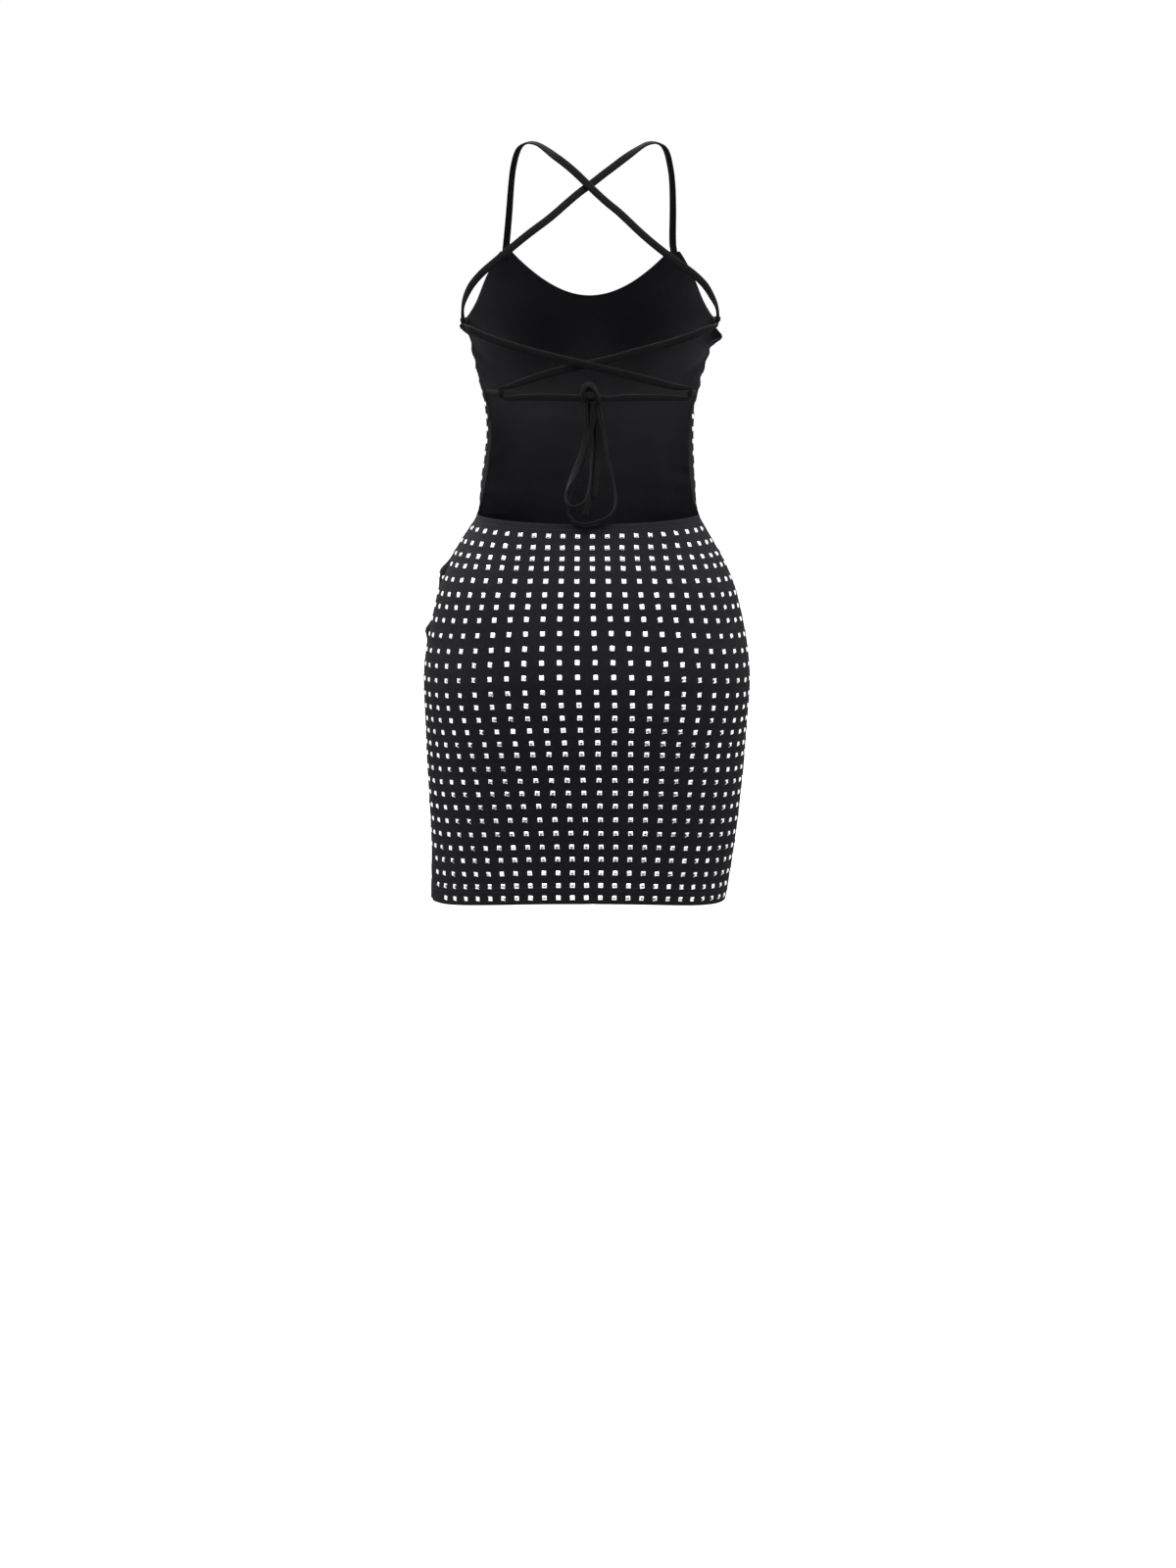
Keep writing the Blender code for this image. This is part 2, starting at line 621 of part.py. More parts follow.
def front_point(side, share, height):
    """Point of the front, share 0 at the centre front and 1 at a side edge."""
    reach = front_reach(side, height)
    if height <= WAIST_HEIGHT:
        rate = (figure_point(1.0, height) - figure_point(-1.0, height)).length / 2.0
        reach -= 0.5 * SEAM_GAP / rate
    angle = -90.0 + (90.0 + reach) * share
    swell = fold_swell(side, reach, angle, height)
    if side < 0:
        angle = 180.0 - angle
    return figure_point(angle, height) + figure_normal(angle, height) * swell


def row_heights(top, bands):
    """Heights of a column's rows, from its top through the bands."""
    heights = [top]
    for band in bands:
        start = heights[-1]
        heights += [start + (band.end - start) * (i + 1) / band.count for i in range(band.count)]
    return heights


def make_front(dress):
    columns = [(-1, share) for share in reversed(FRONT_SHARES[1:])]
    columns += [(1, share) for share in FRONT_SHARES]
    heights = [row_heights(front_top(share), BODICE_BANDS + SKIRT_BANDS) for _, share in columns]
    points = []
    for row in range(len(heights[0])):
        for (side, share), column in zip(columns, heights):
            points.append(front_point(side, share, column[row]))
    return panel(dress, "front_panel", points, len(columns))


def back_row_height(down, angle):
    """Height of a row of the skirt's back: it dips at the top and the seat lifts the rest."""
    lift = BACK_LIFT * math.sin(0.5 * math.pi * min(1.0, down / SEAT_SHARE))
    lift -= TOP_DIP * (1.0 - ease(down / SEAT_SHARE))
    middle = math.sin(math.radians(min(max(angle, 0.0), 180.0))) ** 2
    return WAIST_HEIGHT + (HEM_HEIGHT - WAIST_HEIGHT) * down + lift * middle


def back_angles(side, down):
    """Angles from the centre back seam to the side seam, evenly along the cloth."""
    height = WAIST_HEIGHT + (HEM_HEIGHT - WAIST_HEIGHT) * down
    centre = straight(BACK_SEAM, height, "angle")
    edge = SEAM_ANGLE
    if side > 0 and height < SLIT_HEIGHT:
        edge += SLIT_SPREAD * (SLIT_HEIGHT - height) / (SLIT_HEIGHT - HEM_HEIGHT)
    if side < 0:
        edge = 180.0 - edge
    centre = walk(centre, height, -0.5 * SEAM_GAP * side)
    edge = walk(edge, height, 0.5 * SEAM_GAP * side)
    steps = 4 * BACK_COLUMNS
    samples = [centre + (edge - centre) * i / steps for i in range(steps + 1)]
    lengths = [0.0]
    for first, second in zip(samples, samples[1:]):
        lengths.append(lengths[-1] + (figure_point(second, height) - figure_point(first, height)).length)
    angles = []
    for column in range(BACK_COLUMNS + 1):
        wanted = lengths[-1] * column / BACK_COLUMNS
        i = min(next((k for k, s in enumerate(lengths) if s >= wanted), steps), steps)
        i = max(i, 1)
        part = (wanted - lengths[i - 1]) / (lengths[i] - lengths[i - 1])
        angles.append(samples[i - 1] + part * (samples[i] - samples[i - 1]))
    return angles


def make_back(dress, name, side):
    points = []
    for height in row_heights(WAIST_HEIGHT, SKIRT_BANDS):
        down = (height - WAIST_HEIGHT) / (HEM_HEIGHT - WAIST_HEIGHT)
        angles = back_angles(side, down)
        if side > 0:
            angles = list(reversed(angles))
        for angle in angles:
            points.append(figure_point(angle, back_row_height(down, angle)))
    return panel(dress, name, points, BACK_COLUMNS + 1)


# ---------------------------------------------------------------- straps and bow
def smooth_route(rows):
    """Rows of equal length, joined by a smooth curve and sampled along it."""
    samples = []
    for i in range(len(rows) - 1):
        before = rows[max(i - 1, 0)]
        start, end = rows[i], rows[i + 1]
        after = rows[min(i + 2, len(rows) - 1)]
        length = (Vector(end[:3]) - Vector(start[:3])).length
        count = max(1, round(length / LACE_STEP))
        for k in range(count):
            t = k / count
            samples.append([
                0.5 * (2 * b + (c - a) * t + (2 * a - 5 * b + 4 * c - d) * t * t
                       + (3 * b - a - 3 * c + d) * t ** 3)
                for a, b, c, d in zip(before, start, end, after)
            ])
    samples.append(list(rows[-1]))
    return samples


def lace(dress, name, rows):
    """Flat tube along rows of place, facing direction, width and thickness."""
    samples = smooth_route(rows)
    places = [Vector(s[:3]) for s in samples]
    vertices = []
    for i, sample in enumerate(samples):
        tangent = (places[min(i + 1, len(places) - 1)] - places[max(i - 1, 0)]).normalized()
        facing = Vector(sample[3:6])
        facing = (facing - tangent * facing.dot(tangent)).normalized()
        across = tangent.cross(facing)
        width, thick = sample[6], sample[7]
        for k in range(LACE_SIDES):
            turn = 2.0 * math.pi * k / LACE_SIDES
            wide = 0.5 * width * math.cos(turn)
            deep = 0.5 * thick * math.sin(turn) / math.sin(math.radians(60.0))
            vertices.append(places[i] + across * wide + facing * deep)
    rings = len(samples)
    faces = grid_faces(rings - 1, LACE_SIDES, closed=True)
    faces.append(tuple(range(LACE_SIDES)))
    faces.append(tuple(reversed(range((rings - 1) * LACE_SIDES, rings * LACE_SIDES))))
    piece = add_object(dress, name, vertices, faces, LACE_BLACK, 0.8)
    outward_faces(piece)
    return piece


def outward_faces(piece):
    """Turns a closed piece's faces outwards."""
    mesh = bmesh.new()
    mesh.from_mesh(piece.data)
    bmesh.ops.recalc_face_normals(mesh, faces=mesh.faces)
    mesh.to_mesh(piece.data)
    mesh.free()


def lace_section(bunched, share=1.0):
    """Width and thickness of the lace, drawn together or laid flat."""
    width = LACE_WIDTH + (LACE_BUNCHED - LACE_WIDTH) * bunched
    thick = LACE_THICK + (LACE_BUNCHED - LACE_THICK) * bunched
    return width * share, thick


def strap_rows(side, back_route):
    """Whole strap from the front's corner over the shoulder to the knot."""
    flat = lace_section(0.0)
    reach = front_reach(side, CORNER_HEIGHT)
    angle = -90.0 + (90.0 + reach) * 0.5 * sum(CORNER_SHARES)
    if side < 0:
        angle = 180.0 - angle
    normal = figure_normal(angle, CORNER_HEIGHT)
    climb = (Vector((0.0, 0.0, 1.0)) - normal * normal.z).normalized()
    corner = off_figure(angle, CORNER_HEIGHT, 0.5 * LACE_THICK)
    rows = [(*(corner + climb * up), *normal, *flat) for up in (STRAP_GAP, STRAP_STRAIGHT)]
    for x, y, z in SHOULDER:
        place = Vector((SHOULDER_SHIFT + side * x, y, z))
        centre = Vector((SHOULDER_SHIFT + side * SHOULDER_CENTRE[0], *SHOULDER_CENTRE[1:]))
        rows.append((*place, *(place - centre).normalized(), *flat))
    for angle, height, out, bunched in (*back_route, knot_end(side)):
        place = off_figure(angle, height, out)
        rows.append((*place, *figure_normal(angle, height), *lace_section(bunched)))
    return rows


def knot_end(side):
    """Last point of a strap, where it slips into the side of the knot."""
    x = KNOT_CENTRE_X + side * (KNOT_HALF_WIDTH + SEAM_GAP)
    return angle_at(x, STRAP_END_HEIGHT), STRAP_END_HEIGHT, STRAP_END_OUT, STRAP_END_BUNCHED


def bow_rows(route):
    """Rows of one free strand of the bow."""
    rows = []
    for i, (x, height, out, turn, share) in enumerate(route):
        angle = angle_at(x, height)
        normal = figure_normal(angle, height)
        before, after = route[max(i - 1, 0)], route[min(i + 1, len(route) - 1)]
        along = Vector((after[0] - before[0], 0.0, after[1] - before[1])).normalized()
        across = along.cross(normal).normalized()
        spin = math.radians(turn)
        facing = normal * math.cos(spin) + across * math.sin(spin)
        rows.append((*off_figure(angle, height, out), *facing, *lace_section(0.0, share)))
    return rows


def make_loop(dress, name, side, strap_angle, height):
    """Fabric loop sewn to the front's side edge, a flat ring round the strap."""
    vertices = []
    for row in range(3):
        level = height + LOOP_TALL * (0.5 - row / 2)
        edge_angle = front_reach(side, level)
        if side < 0:
            edge_angle = 180.0 - edge_angle
        sewn = off_figure(edge_angle, level, LOOP_SEWN_OUT)
        held = off_figure(strap_angle, level, LOOP_OUT)
        along = (held - sewn).normalized()
        out = figure_normal(0.5 * (edge_angle + strap_angle), level)
        out = (out - along * out.dot(along)).normalized()
        nose = sewn + along * (SEAM_GAP + NOSE_ARC.radius + 0.5 * LOOP_WALL)
        for centre, arc in ((held, LOOP_ARC), (nose, NOSE_ARC)):
            for k in range(arc.points):
                turn = math.radians(arc.first + (arc.last - arc.first) * k / (arc.points - 1))
                place = along * math.cos(turn) + out * math.sin(turn)
                vertices.append(centre + place * arc.radius)
    faces = grid_faces(2, len(vertices) // 3, closed=True)
    piece = add_object(dress, name, vertices, faces, LACE_BLACK, 0.8)
    solidify(piece, LOOP_WALL, 0.0)
    return piece


def make_knot(dress):
    """Knot of the bow: a rounded lump with a flat underside."""
    vertices = []
    for row in KNOT_ROWS:
        height = KNOT_TOP + (KNOT_BOTTOM - KNOT_TOP) * row.share
        back_y = figure_point(90.0, height).y
        for k in range(KNOT_SIDES):
            turn = 2.0 * math.pi * k / KNOT_SIDES
            x = KNOT_CENTRE_X + row.half_width * squared(math.cos(turn))
            y = back_y + KNOT_CENTRE_OUT + row.half_depth * squared(math.sin(turn))
            vertices.append((x, y, height))
    rows = len(KNOT_ROWS)
    faces = grid_faces(rows - 1, KNOT_SIDES, closed=True)
    faces.append(tuple(range(KNOT_SIDES)))
    faces.append(tuple(reversed(range((rows - 1) * KNOT_SIDES, rows * KNOT_SIDES))))
    piece = add_object(dress, "bow_knot", vertices, faces, LACE_BLACK, 0.8)
    outward_faces(piece)
    return piece


def main():
    for old in list(bpy.data.objects):
        bpy.data.objects.remove(old, do_unlink=True)
    collection = new_collection(COLLECTION)
    origin = bpy.data.objects.new("dress_origin", None)
    collection.objects.link(origin)
    dress = {"collection": collection, "origin": origin}
    make_front(dress)
    make_back(dress, "back_skirt_left", 1)
    make_back(dress, "back_skirt_right", -1)
    lace(dress, "strap_left", strap_rows(1, STRAP_LEFT))
    lace(dress, "strap_right", strap_rows(-1, STRAP_RIGHT))
    for name, side, strap_angle, height in LOOPS:
        make_loop(dress, name, side, strap_angle, height)
    make_knot(dress)
    for name, route in BOW.items():
        lace(dress, name, bow_rows(route))


main()
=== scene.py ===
"""Bodycon mini dress with an open, laced back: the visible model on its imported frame.

Metres, +Z up. The wearer faces -Y, the wearer's left side is +X, and the open back
faces +Y. A place on the cloth is an angle round the figure (0 = wearer's left side,
90 = centre back, 180 = right side, -90 = centre front) and a height.
"""
import json
import math
from collections import namedtuple
from functools import partial

import bpy
import numpy as np
from bpy.props import FloatProperty, FloatVectorProperty, IntProperty, PointerProperty
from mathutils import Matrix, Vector
from mathutils.bvhtree import BVHTree

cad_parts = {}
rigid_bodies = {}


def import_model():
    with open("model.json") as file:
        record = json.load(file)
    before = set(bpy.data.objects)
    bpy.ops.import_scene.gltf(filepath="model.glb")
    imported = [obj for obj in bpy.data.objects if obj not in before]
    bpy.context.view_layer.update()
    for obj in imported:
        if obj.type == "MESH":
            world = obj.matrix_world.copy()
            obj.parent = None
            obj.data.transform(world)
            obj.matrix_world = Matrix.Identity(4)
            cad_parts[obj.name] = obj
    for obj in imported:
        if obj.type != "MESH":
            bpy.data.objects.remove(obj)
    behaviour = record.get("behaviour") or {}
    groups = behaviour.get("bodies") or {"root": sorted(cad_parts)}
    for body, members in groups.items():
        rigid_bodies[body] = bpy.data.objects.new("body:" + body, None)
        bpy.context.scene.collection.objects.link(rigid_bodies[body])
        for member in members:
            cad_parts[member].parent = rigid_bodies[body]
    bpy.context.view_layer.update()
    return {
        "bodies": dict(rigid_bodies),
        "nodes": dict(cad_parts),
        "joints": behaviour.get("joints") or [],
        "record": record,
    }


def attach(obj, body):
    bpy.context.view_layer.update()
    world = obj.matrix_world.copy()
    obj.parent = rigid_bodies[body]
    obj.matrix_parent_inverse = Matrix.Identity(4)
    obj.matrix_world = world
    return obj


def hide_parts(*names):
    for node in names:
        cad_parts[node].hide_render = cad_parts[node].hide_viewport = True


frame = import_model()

bl_info = {
    "name": "Laced Bodycon Dress",
    "version": (1, 0, 0),
    "blender": (4, 5, 0),
    "location": "3D View > Sidebar > Dress",
    "description": "Builds a studded bodycon mini dress with a laced back and its studio",
    "category": "Add Mesh",
}


def table(columns, *rows, usual=()):
    """Short table whose columns have names; a row may leave out its last usual values."""
    row_type = namedtuple("Row", columns, defaults=usual)
    return tuple(row_type(*row) for row in rows)


# ---------------------------------------------------------------- cut of the dress
LOOP_GAP = 0.0003            # between a loop's sewn end and the cloth's edge
OUTER = 0.0015               # outer face of the cloth above the figure
HEM_HEIGHT = -0.790
WAIST_HEIGHT = -0.375        # top edge of the skirt's back
SKIRT_LENGTH = WAIST_HEIGHT - HEM_HEIGHT
SLIT_HEIGHT = -0.747
SLIT_SPREAD = 6.0            # how far the slit falls open at the hem, in degrees
BACK_LIFT = 0.017            # how far the seat lifts the back hem
SEAT_SHARE = 0.45            # share of the skirt's length where the seat is fullest
TOP_DIP = 0.0046             # how far the skirt's top edge dips at the centre back
SEAM_ANGLE = 6.0             # side seams, this far behind the side line
SQUARENESS = 0.02            # how much squarer than an ellipse the sections are

# Level sections of the figure that the cloth is stretched over.
FIGURE = table(
    "height shift half_width side_y back front",
    (0.0, 0.0, 0.105, 0.0, 0.02, 0.03), (-0.02, 0.0, 0.13, 0.0, 0.028, 0.045),
    (-0.045, -0.001, 0.146, 0.0, 0.036, 0.062), (-0.075, -0.002, 0.15, 0.0, 0.046, 0.08),
    (-0.105, -0.002, 0.146, 0.0, 0.053, 0.094), (-0.13, -0.002, 0.138, 0.0, 0.058, 0.104),
    (-0.155, -0.002, 0.13, 0.0, 0.061, 0.112), (-0.18, -0.0025, 0.127, 0.0, 0.062, 0.118),
    (-0.205, -0.003, 0.1205, 0.0, 0.061, 0.121), (-0.225, -0.002, 0.1152, 0.0, 0.058, 0.121),
    (-0.245, -0.002, 0.111, 0.0, 0.056, 0.119), (-0.265, -0.002, 0.1075, 0.0, 0.055, 0.114),
    (-0.29, -0.002, 0.1065, 0.0, 0.055, 0.108), (-0.315, -0.001, 0.108, 0.0, 0.058, 0.104),
    (-0.345, 0.0, 0.1112, 0.001, 0.066, 0.102), (-0.375, 0.0, 0.115, 0.002, 0.077, 0.103),
    (-0.4, 0.001, 0.1295, 0.003, 0.087, 0.106), (-0.425, 0.001, 0.144, 0.004, 0.097, 0.109),
    (-0.45, 0.001, 0.1545, 0.005, 0.105, 0.111), (-0.48, 0.001, 0.162, 0.005, 0.112, 0.112),
    (-0.515, 0.001, 0.169, 0.005, 0.118, 0.112), (-0.55, 0.001, 0.172, 0.005, 0.12, 0.111),
    (-0.6, 0.002, 0.1703, 0.004, 0.116, 0.109), (-0.66, 0.003, 0.1675, 0.003, 0.108, 0.106),
    (-0.72, 0.005, 0.1635, 0.002, 0.101, 0.103), (-0.79, 0.0105, 0.1585, 0.001, 0.097, 0.101),
)
BUST_HEIGHT = -0.228
BUST_APEX = 0.072            # sideways from the middle
BUST_FULLNESS = 0.022
BUST_SPREAD = 0.046

# Centre back seam, and how far the front's side edges reach round on both sides.
BACK_SEAM = table(
    "height angle",
    (-0.375, 89.0), (-0.48, 89.3), (-0.55, 89.9), (-0.65, 91.7), (-0.72, 93.2), (-0.79, 94.8),
)
FRONT_EDGE = table(
    "height left right",
    (-0.173, -4.0, -4.0), (-0.19, -1.0, -1.0), (-0.205, 4.0, 2.0), (-0.22, 9.0, 4.0),
    (-0.235, 15.0, 8.0), (-0.245, 19.0, 13.0), (-0.256, 20.5, 18.0), (-0.27, 21.0, 20.0),
    (-0.3, 22.0, 22.0), (-0.335, 21.0, 22.0), (-0.35, 19.5, 20.0), (-0.362, 15.0, 17.0),
    (-0.371, 9.5, 11.0), (-0.375, 6.0, 6.0), (-0.79, 6.0, 6.0),
)
# Top edge of the front: its middle, the strap's corner and the foot of the armhole.
NECK_HEIGHT = -0.150
CORNER_HEIGHT = -0.105
ARM_HEIGHT = -0.173
CORNER_SHARES = (0.375, 0.445)       # the corner's two ends, as shares of the half front
HALF_FRONT = 0.22            # about the cloth from the centre front to a side edge

# Folds of the front, from its side edges: side (1 = wearer's left), height at the
# edge, how far it stands out, half its height, its run in degrees, its fall.
FOLDS = table(
    "side height stand half_tall run fall",
    (1, -0.1805, 0.0078, 0.0052, 34.0, 0.02), (1, -0.207, 0.0018, 0.0065, 26.0, 0.01),
    (1, -0.223, 0.0018, 0.0065, 24.0, 0.004), (1, -0.24, 0.002, 0.006, 26.0, -0.004),
    (1, -0.256, 0.0016, 0.006, 24.0, -0.01), (-1, -0.1745, 0.0042, 0.0045, 22.0, 0.016),
    (-1, -0.19, 0.0108, 0.0075, 30.0, 0.018), (-1, -0.2085, 0.0018, 0.006, 26.0, 0.008),
    (-1, -0.2245, 0.0018, 0.0065, 24.0, 0.002), (-1, -0.2425, 0.002, 0.006, 26.0, -0.005),
    (-1, -0.259, 0.0016, 0.006, 24.0, -0.01), (1, -0.434, 0.005, 0.011, 46.0, 0.022),
    (1, -0.496, 0.0045, 0.009, 50.0, 0.016),
)
FOLD_START, FOLD_LEAD = 5.0, 1.5     # degrees over which a skirt fold rises at the seam
FOLD_NARROW, FOLD_WIDEN = 0.75, 0.60    # its half height at the edge, and how it grows

# Soft creases: each runs from one place to another, given as the distance round
# from the centre line (positive to the wearer's left) and the height.
CREASE_COLUMNS = "along height end_along end_height bow depth half_width"
FRONT_CREASES = table(
    CREASE_COLUMNS,
    (0.205, -0.196, 0.128, -0.222, 0.004, 0.0011, 0.0048),
    (0.212, -0.216, 0.15, -0.23, 0.003, 0.0008, 0.0042),
    (-0.206, -0.203, -0.136, -0.231, -0.004, 0.0012, 0.005),
    (-0.214, -0.233, -0.158, -0.241, 0.002, 0.0007, 0.004),
    (0.204, -0.262, 0.132, -0.249, -0.003, 0.0009, 0.0045),
    (-0.206, -0.272, -0.118, -0.256, 0.003, 0.0008, 0.0052),
    (0.05, -0.276, -0.038, -0.283, 0.006, 0.0009, 0.007),
    (0.188, -0.318, 0.086, -0.308, 0.005, 0.0009, 0.006),
    (-0.19, -0.331, -0.104, -0.322, -0.004, 0.0008, 0.0048),
    (0.182, -0.349, 0.098, -0.361, -0.003, 0.0011, 0.005),
    (-0.176, -0.356, -0.066, -0.349, 0.005, 0.0009, 0.0058),
    (0.07, -0.338, -0.052, -0.343, -0.004, 0.0007, 0.0062),
    (0.164, -0.376, 0.076, -0.383, 0.003, 0.0008, 0.0045),
    (-0.168, -0.382, -0.094, -0.39, 0.003, 0.0009, 0.005),
    (-0.176, -0.412, -0.088, -0.434, 0.006, 0.001, 0.0062),
    (0.12, -0.428, 0.034, -0.444, -0.005, 0.0008, 0.007),
    (-0.222, -0.47, -0.118, -0.486, 0.007, 0.0009, 0.0068),
    (0.094, -0.492, -0.062, -0.498, 0.009, 0.001, 0.0095),
    (-0.226, -0.548, -0.15, -0.56, -0.004, 0.0007, 0.006),
    (0.222, -0.602, 0.132, -0.588, 0.006, 0.0007, 0.007),
    (-0.07, -0.612, -0.02, -0.7, 0.006, 0.0006, 0.009),
    (0.064, -0.59, 0.03, -0.69, -0.008, 0.0006, 0.0085),
    (-0.214, -0.688, -0.15, -0.706, 0.004, 0.0006, 0.0065),
    (0.205, -0.724, 0.168, -0.752, 0.003, 0.0007, 0.0055),
)
BACK_CREASES = table(
    CREASE_COLUMNS,
    (0.112, -0.556, -0.006, -0.551, -0.004, 0.0011, 0.0085),
    (-0.01, -0.552, -0.128, -0.558, -0.005, 0.0012, 0.009),
    (0.168, -0.402, 0.118, -0.41, 0.002, 0.0007, 0.004),
    (-0.172, -0.406, -0.112, -0.414, -0.002, 0.0007, 0.0045),
    (0.21, -0.498, 0.158, -0.51, 0.003, 0.001, 0.005),
    (0.206, -0.532, 0.15, -0.541, 0.003, 0.0006, 0.0055),
    (-0.212, -0.47, -0.16, -0.481, -0.004, 0.0007, 0.0055),
    (-0.214, -0.56, -0.17, -0.553, 0.003, 0.0006, 0.005),
    (0.196, -0.628, 0.136, -0.64, 0.004, 0.0007, 0.007),
    (-0.198, -0.634, -0.138, -0.622, 0.004, 0.0006, 0.0065),
    (0.06, -0.6, 0.034, -0.69, 0.006, 0.0005, 0.01),
    (-0.058, -0.606, -0.04, -0.7, -0.006, 0.0005, 0.0095),
    (0.188, -0.716, 0.15, -0.742, 0.003, 0.0007, 0.005),
    (-0.176, -0.724, -0.12, -0.736, 0.003, 0.0006, 0.006),
)
# Slow unevenness of stretched jersey: waves round and up, and their heights.
DRAPE = table(
    "round upward phase size",
    (58.0, 21.0, 0.4, 0.00014), (-37.0, 44.0, 1.9, 0.00016), (23.0, 71.0, 3.1, 0.00012),
    (96.0, -33.0, 4.4, 0.00008),
)

# Small relief of the sewing.
EDGE_LAYER = 0.7             # share of a turned edge's second layer that shows outside
EDGE_FADE = 0.0016           # width over which that layer ends
TURNED_FADE = 0.001          # width over which the shell grows thin past a turned edge
LINE_SHARE = 0.8             # place of the stitched line across a turned edge
LINE_DEPTH, LINE_HALF = 0.00022, 0.0009
ROUND_DEPTH, ROUND_WIDTH = 0.00055, 0.0010    # round fold of a free edge
PUCKER_HEIGHT = 0.00016
SIDE_SEAM_DEPTH, BACK_SEAM_DEPTH, SEAM_HALF = 0.0007, 0.0008, 0.0016
SEAM_PUCKER = 0.006          # width of the ripples beside a seam
SLIT_FADE = 0.004            # height over which the side seam becomes the slit
HEM_LINES = (0.72, 0.92)     # places of the hem's two stitched lines across it
PROBE = 0.02                 # how far outside the cloth a search for it starts

# ---------------------------------------------------------------- straps and bow
LACE_WIDTH = 0.0078
LACE_THICK = 0.0024
LACE_BUNCHED = 0.0034                # width and thickness where it is bunched in a loop
LACE_REST = 0.0016                   # height of its middle over the figure where it lies flat
STRAP_GAP = 0.0008                   # from the corner to the strap's free start
STRAP_STRAIGHT = 0.014
STRAP_TUCK = (-0.006, -0.0018)       # the sewn end below the corner, and how far it is sunk
LOOP_TALL = 0.0046
LOOP_WALL = 0.0010
LOOP_BARREL = 0.00022                # how far a loop bulges in its middle
LOOP_ARC, NOSE_ARC = table(
    "radius first last points", (0.00255, 100.0, -100.0, 25), (0.0007, 260.0, 100.0, 11))
LOOP_OUT = 0.0034                    # height over the figure of a strap inside its loop
LOOP_SEWN_OUT = 0.0016               # the same of the loop's sewn end
# Where a strap slips into the side of the knot: height, height over the figure, bunching.
STRAP_END_HEIGHT, STRAP_END_OUT, STRAP_END_BUNCHED = -0.2532, 0.0040, 0.40
LACE_SQUARE = (0.85, 0.70)           # powers that square a lace's section: across, deep
SEW_PLACE, SEW_HALF, SEW_DEPTH = 0.66, 0.10, 0.00016    # a lace's sewn line
PLEAT_DEPTH = 0.00042
LACE_SLIP = 0.00018                  # how far a lace wanders sideways
KNIT_ACROSS, KNIT_ALONG = 0.0009, 0.0008    # cloth between two points of the knot
KNOT_CENTRE_X = -0.0015
KNOT_HALF_WIDTH = 0.0094
KNOT_CENTRE_OUT = 0.0070
KNOT_TOP = -0.2385
KNOT_BOTTOM = -0.2572

# The left strap's way over the shoulder; the right one's is its mirror image.
SHOULDER = table(
    "x y z",
    (0.084, -0.047, -0.04), (0.08, -0.03, -0.017), (0.0745, -0.015, -0.004), (0.0665, -0.002, 0.0),
    (0.0585, 0.008, -0.0006), (0.05, 0.016, -0.0048),
)
SHOULDER_SHIFT = -0.004
SHOULDER_CENTRE = (0.035, 0.0, -0.090)    # what the strap faces away from
# The straps' ways over the back; usually they lie flat.
STRAP_LEFT = table(
    "angle height out bunched",
    (76.3, -0.0166, 0.0026), (79.8, -0.0222, 0.0036), (84.7, -0.0321, 0.0046),
    (89.1, -0.0432, 0.0046), (93.0, -0.0537, 0.004), (96.4, -0.0621, 0.0026), (100.4, -0.0711),
    (107.3, -0.088), (114.4, -0.1021), (125.3, -0.1186), (136.5, -0.1306), (147.4, -0.1411),
    (158.2, -0.1516, 0.0018, 0.1), (168.0, -0.16, 0.0024, 0.4), (175.0, -0.167, 0.0031, 0.8),
    (178.1, -0.1713, LOOP_OUT, 1.0), (178.1, -0.1745, LOOP_OUT, 1.0),
    (178.1, -0.1778, LOOP_OUT, 1.0), (175.0, -0.18, 0.0034, 1.0), (168.5, -0.1818, 0.003, 0.8),
    (160.5, -0.1838, 0.0024, 0.4), (152.6, -0.1868, 0.0018, 0.1), (142.9, -0.1913),
    (131.9, -0.1964), (122.3, -0.2013), (111.4, -0.2071), (101.4, -0.2129), (89.7, -0.219),
    (77.6, -0.2252), (67.0, -0.2307), (58.0, -0.2358, LACE_REST, 0.1), (50.0, -0.24, 0.0018, 0.3),
    (44.6, -0.2423, 0.0026, 0.7), (40.2, -0.2434, LOOP_OUT, 1.0), (38.2, -0.2451, LOOP_OUT, 1.0),
    (38.2, -0.2482, LOOP_OUT, 1.0), (38.2, -0.2513, LOOP_OUT, 1.0), (40.2, -0.253, LOOP_OUT, 1.0),
    (44.8, -0.2536, 0.0026, 0.7), (52.7, -0.253, 0.0018, 0.4), (65.9, -0.2526, LACE_REST, 0.2),
    (75.4, -0.2529, LACE_REST, 0.15), (80.5, -0.253, 0.002, 0.15),
    usual=(LACE_REST, 0.0))
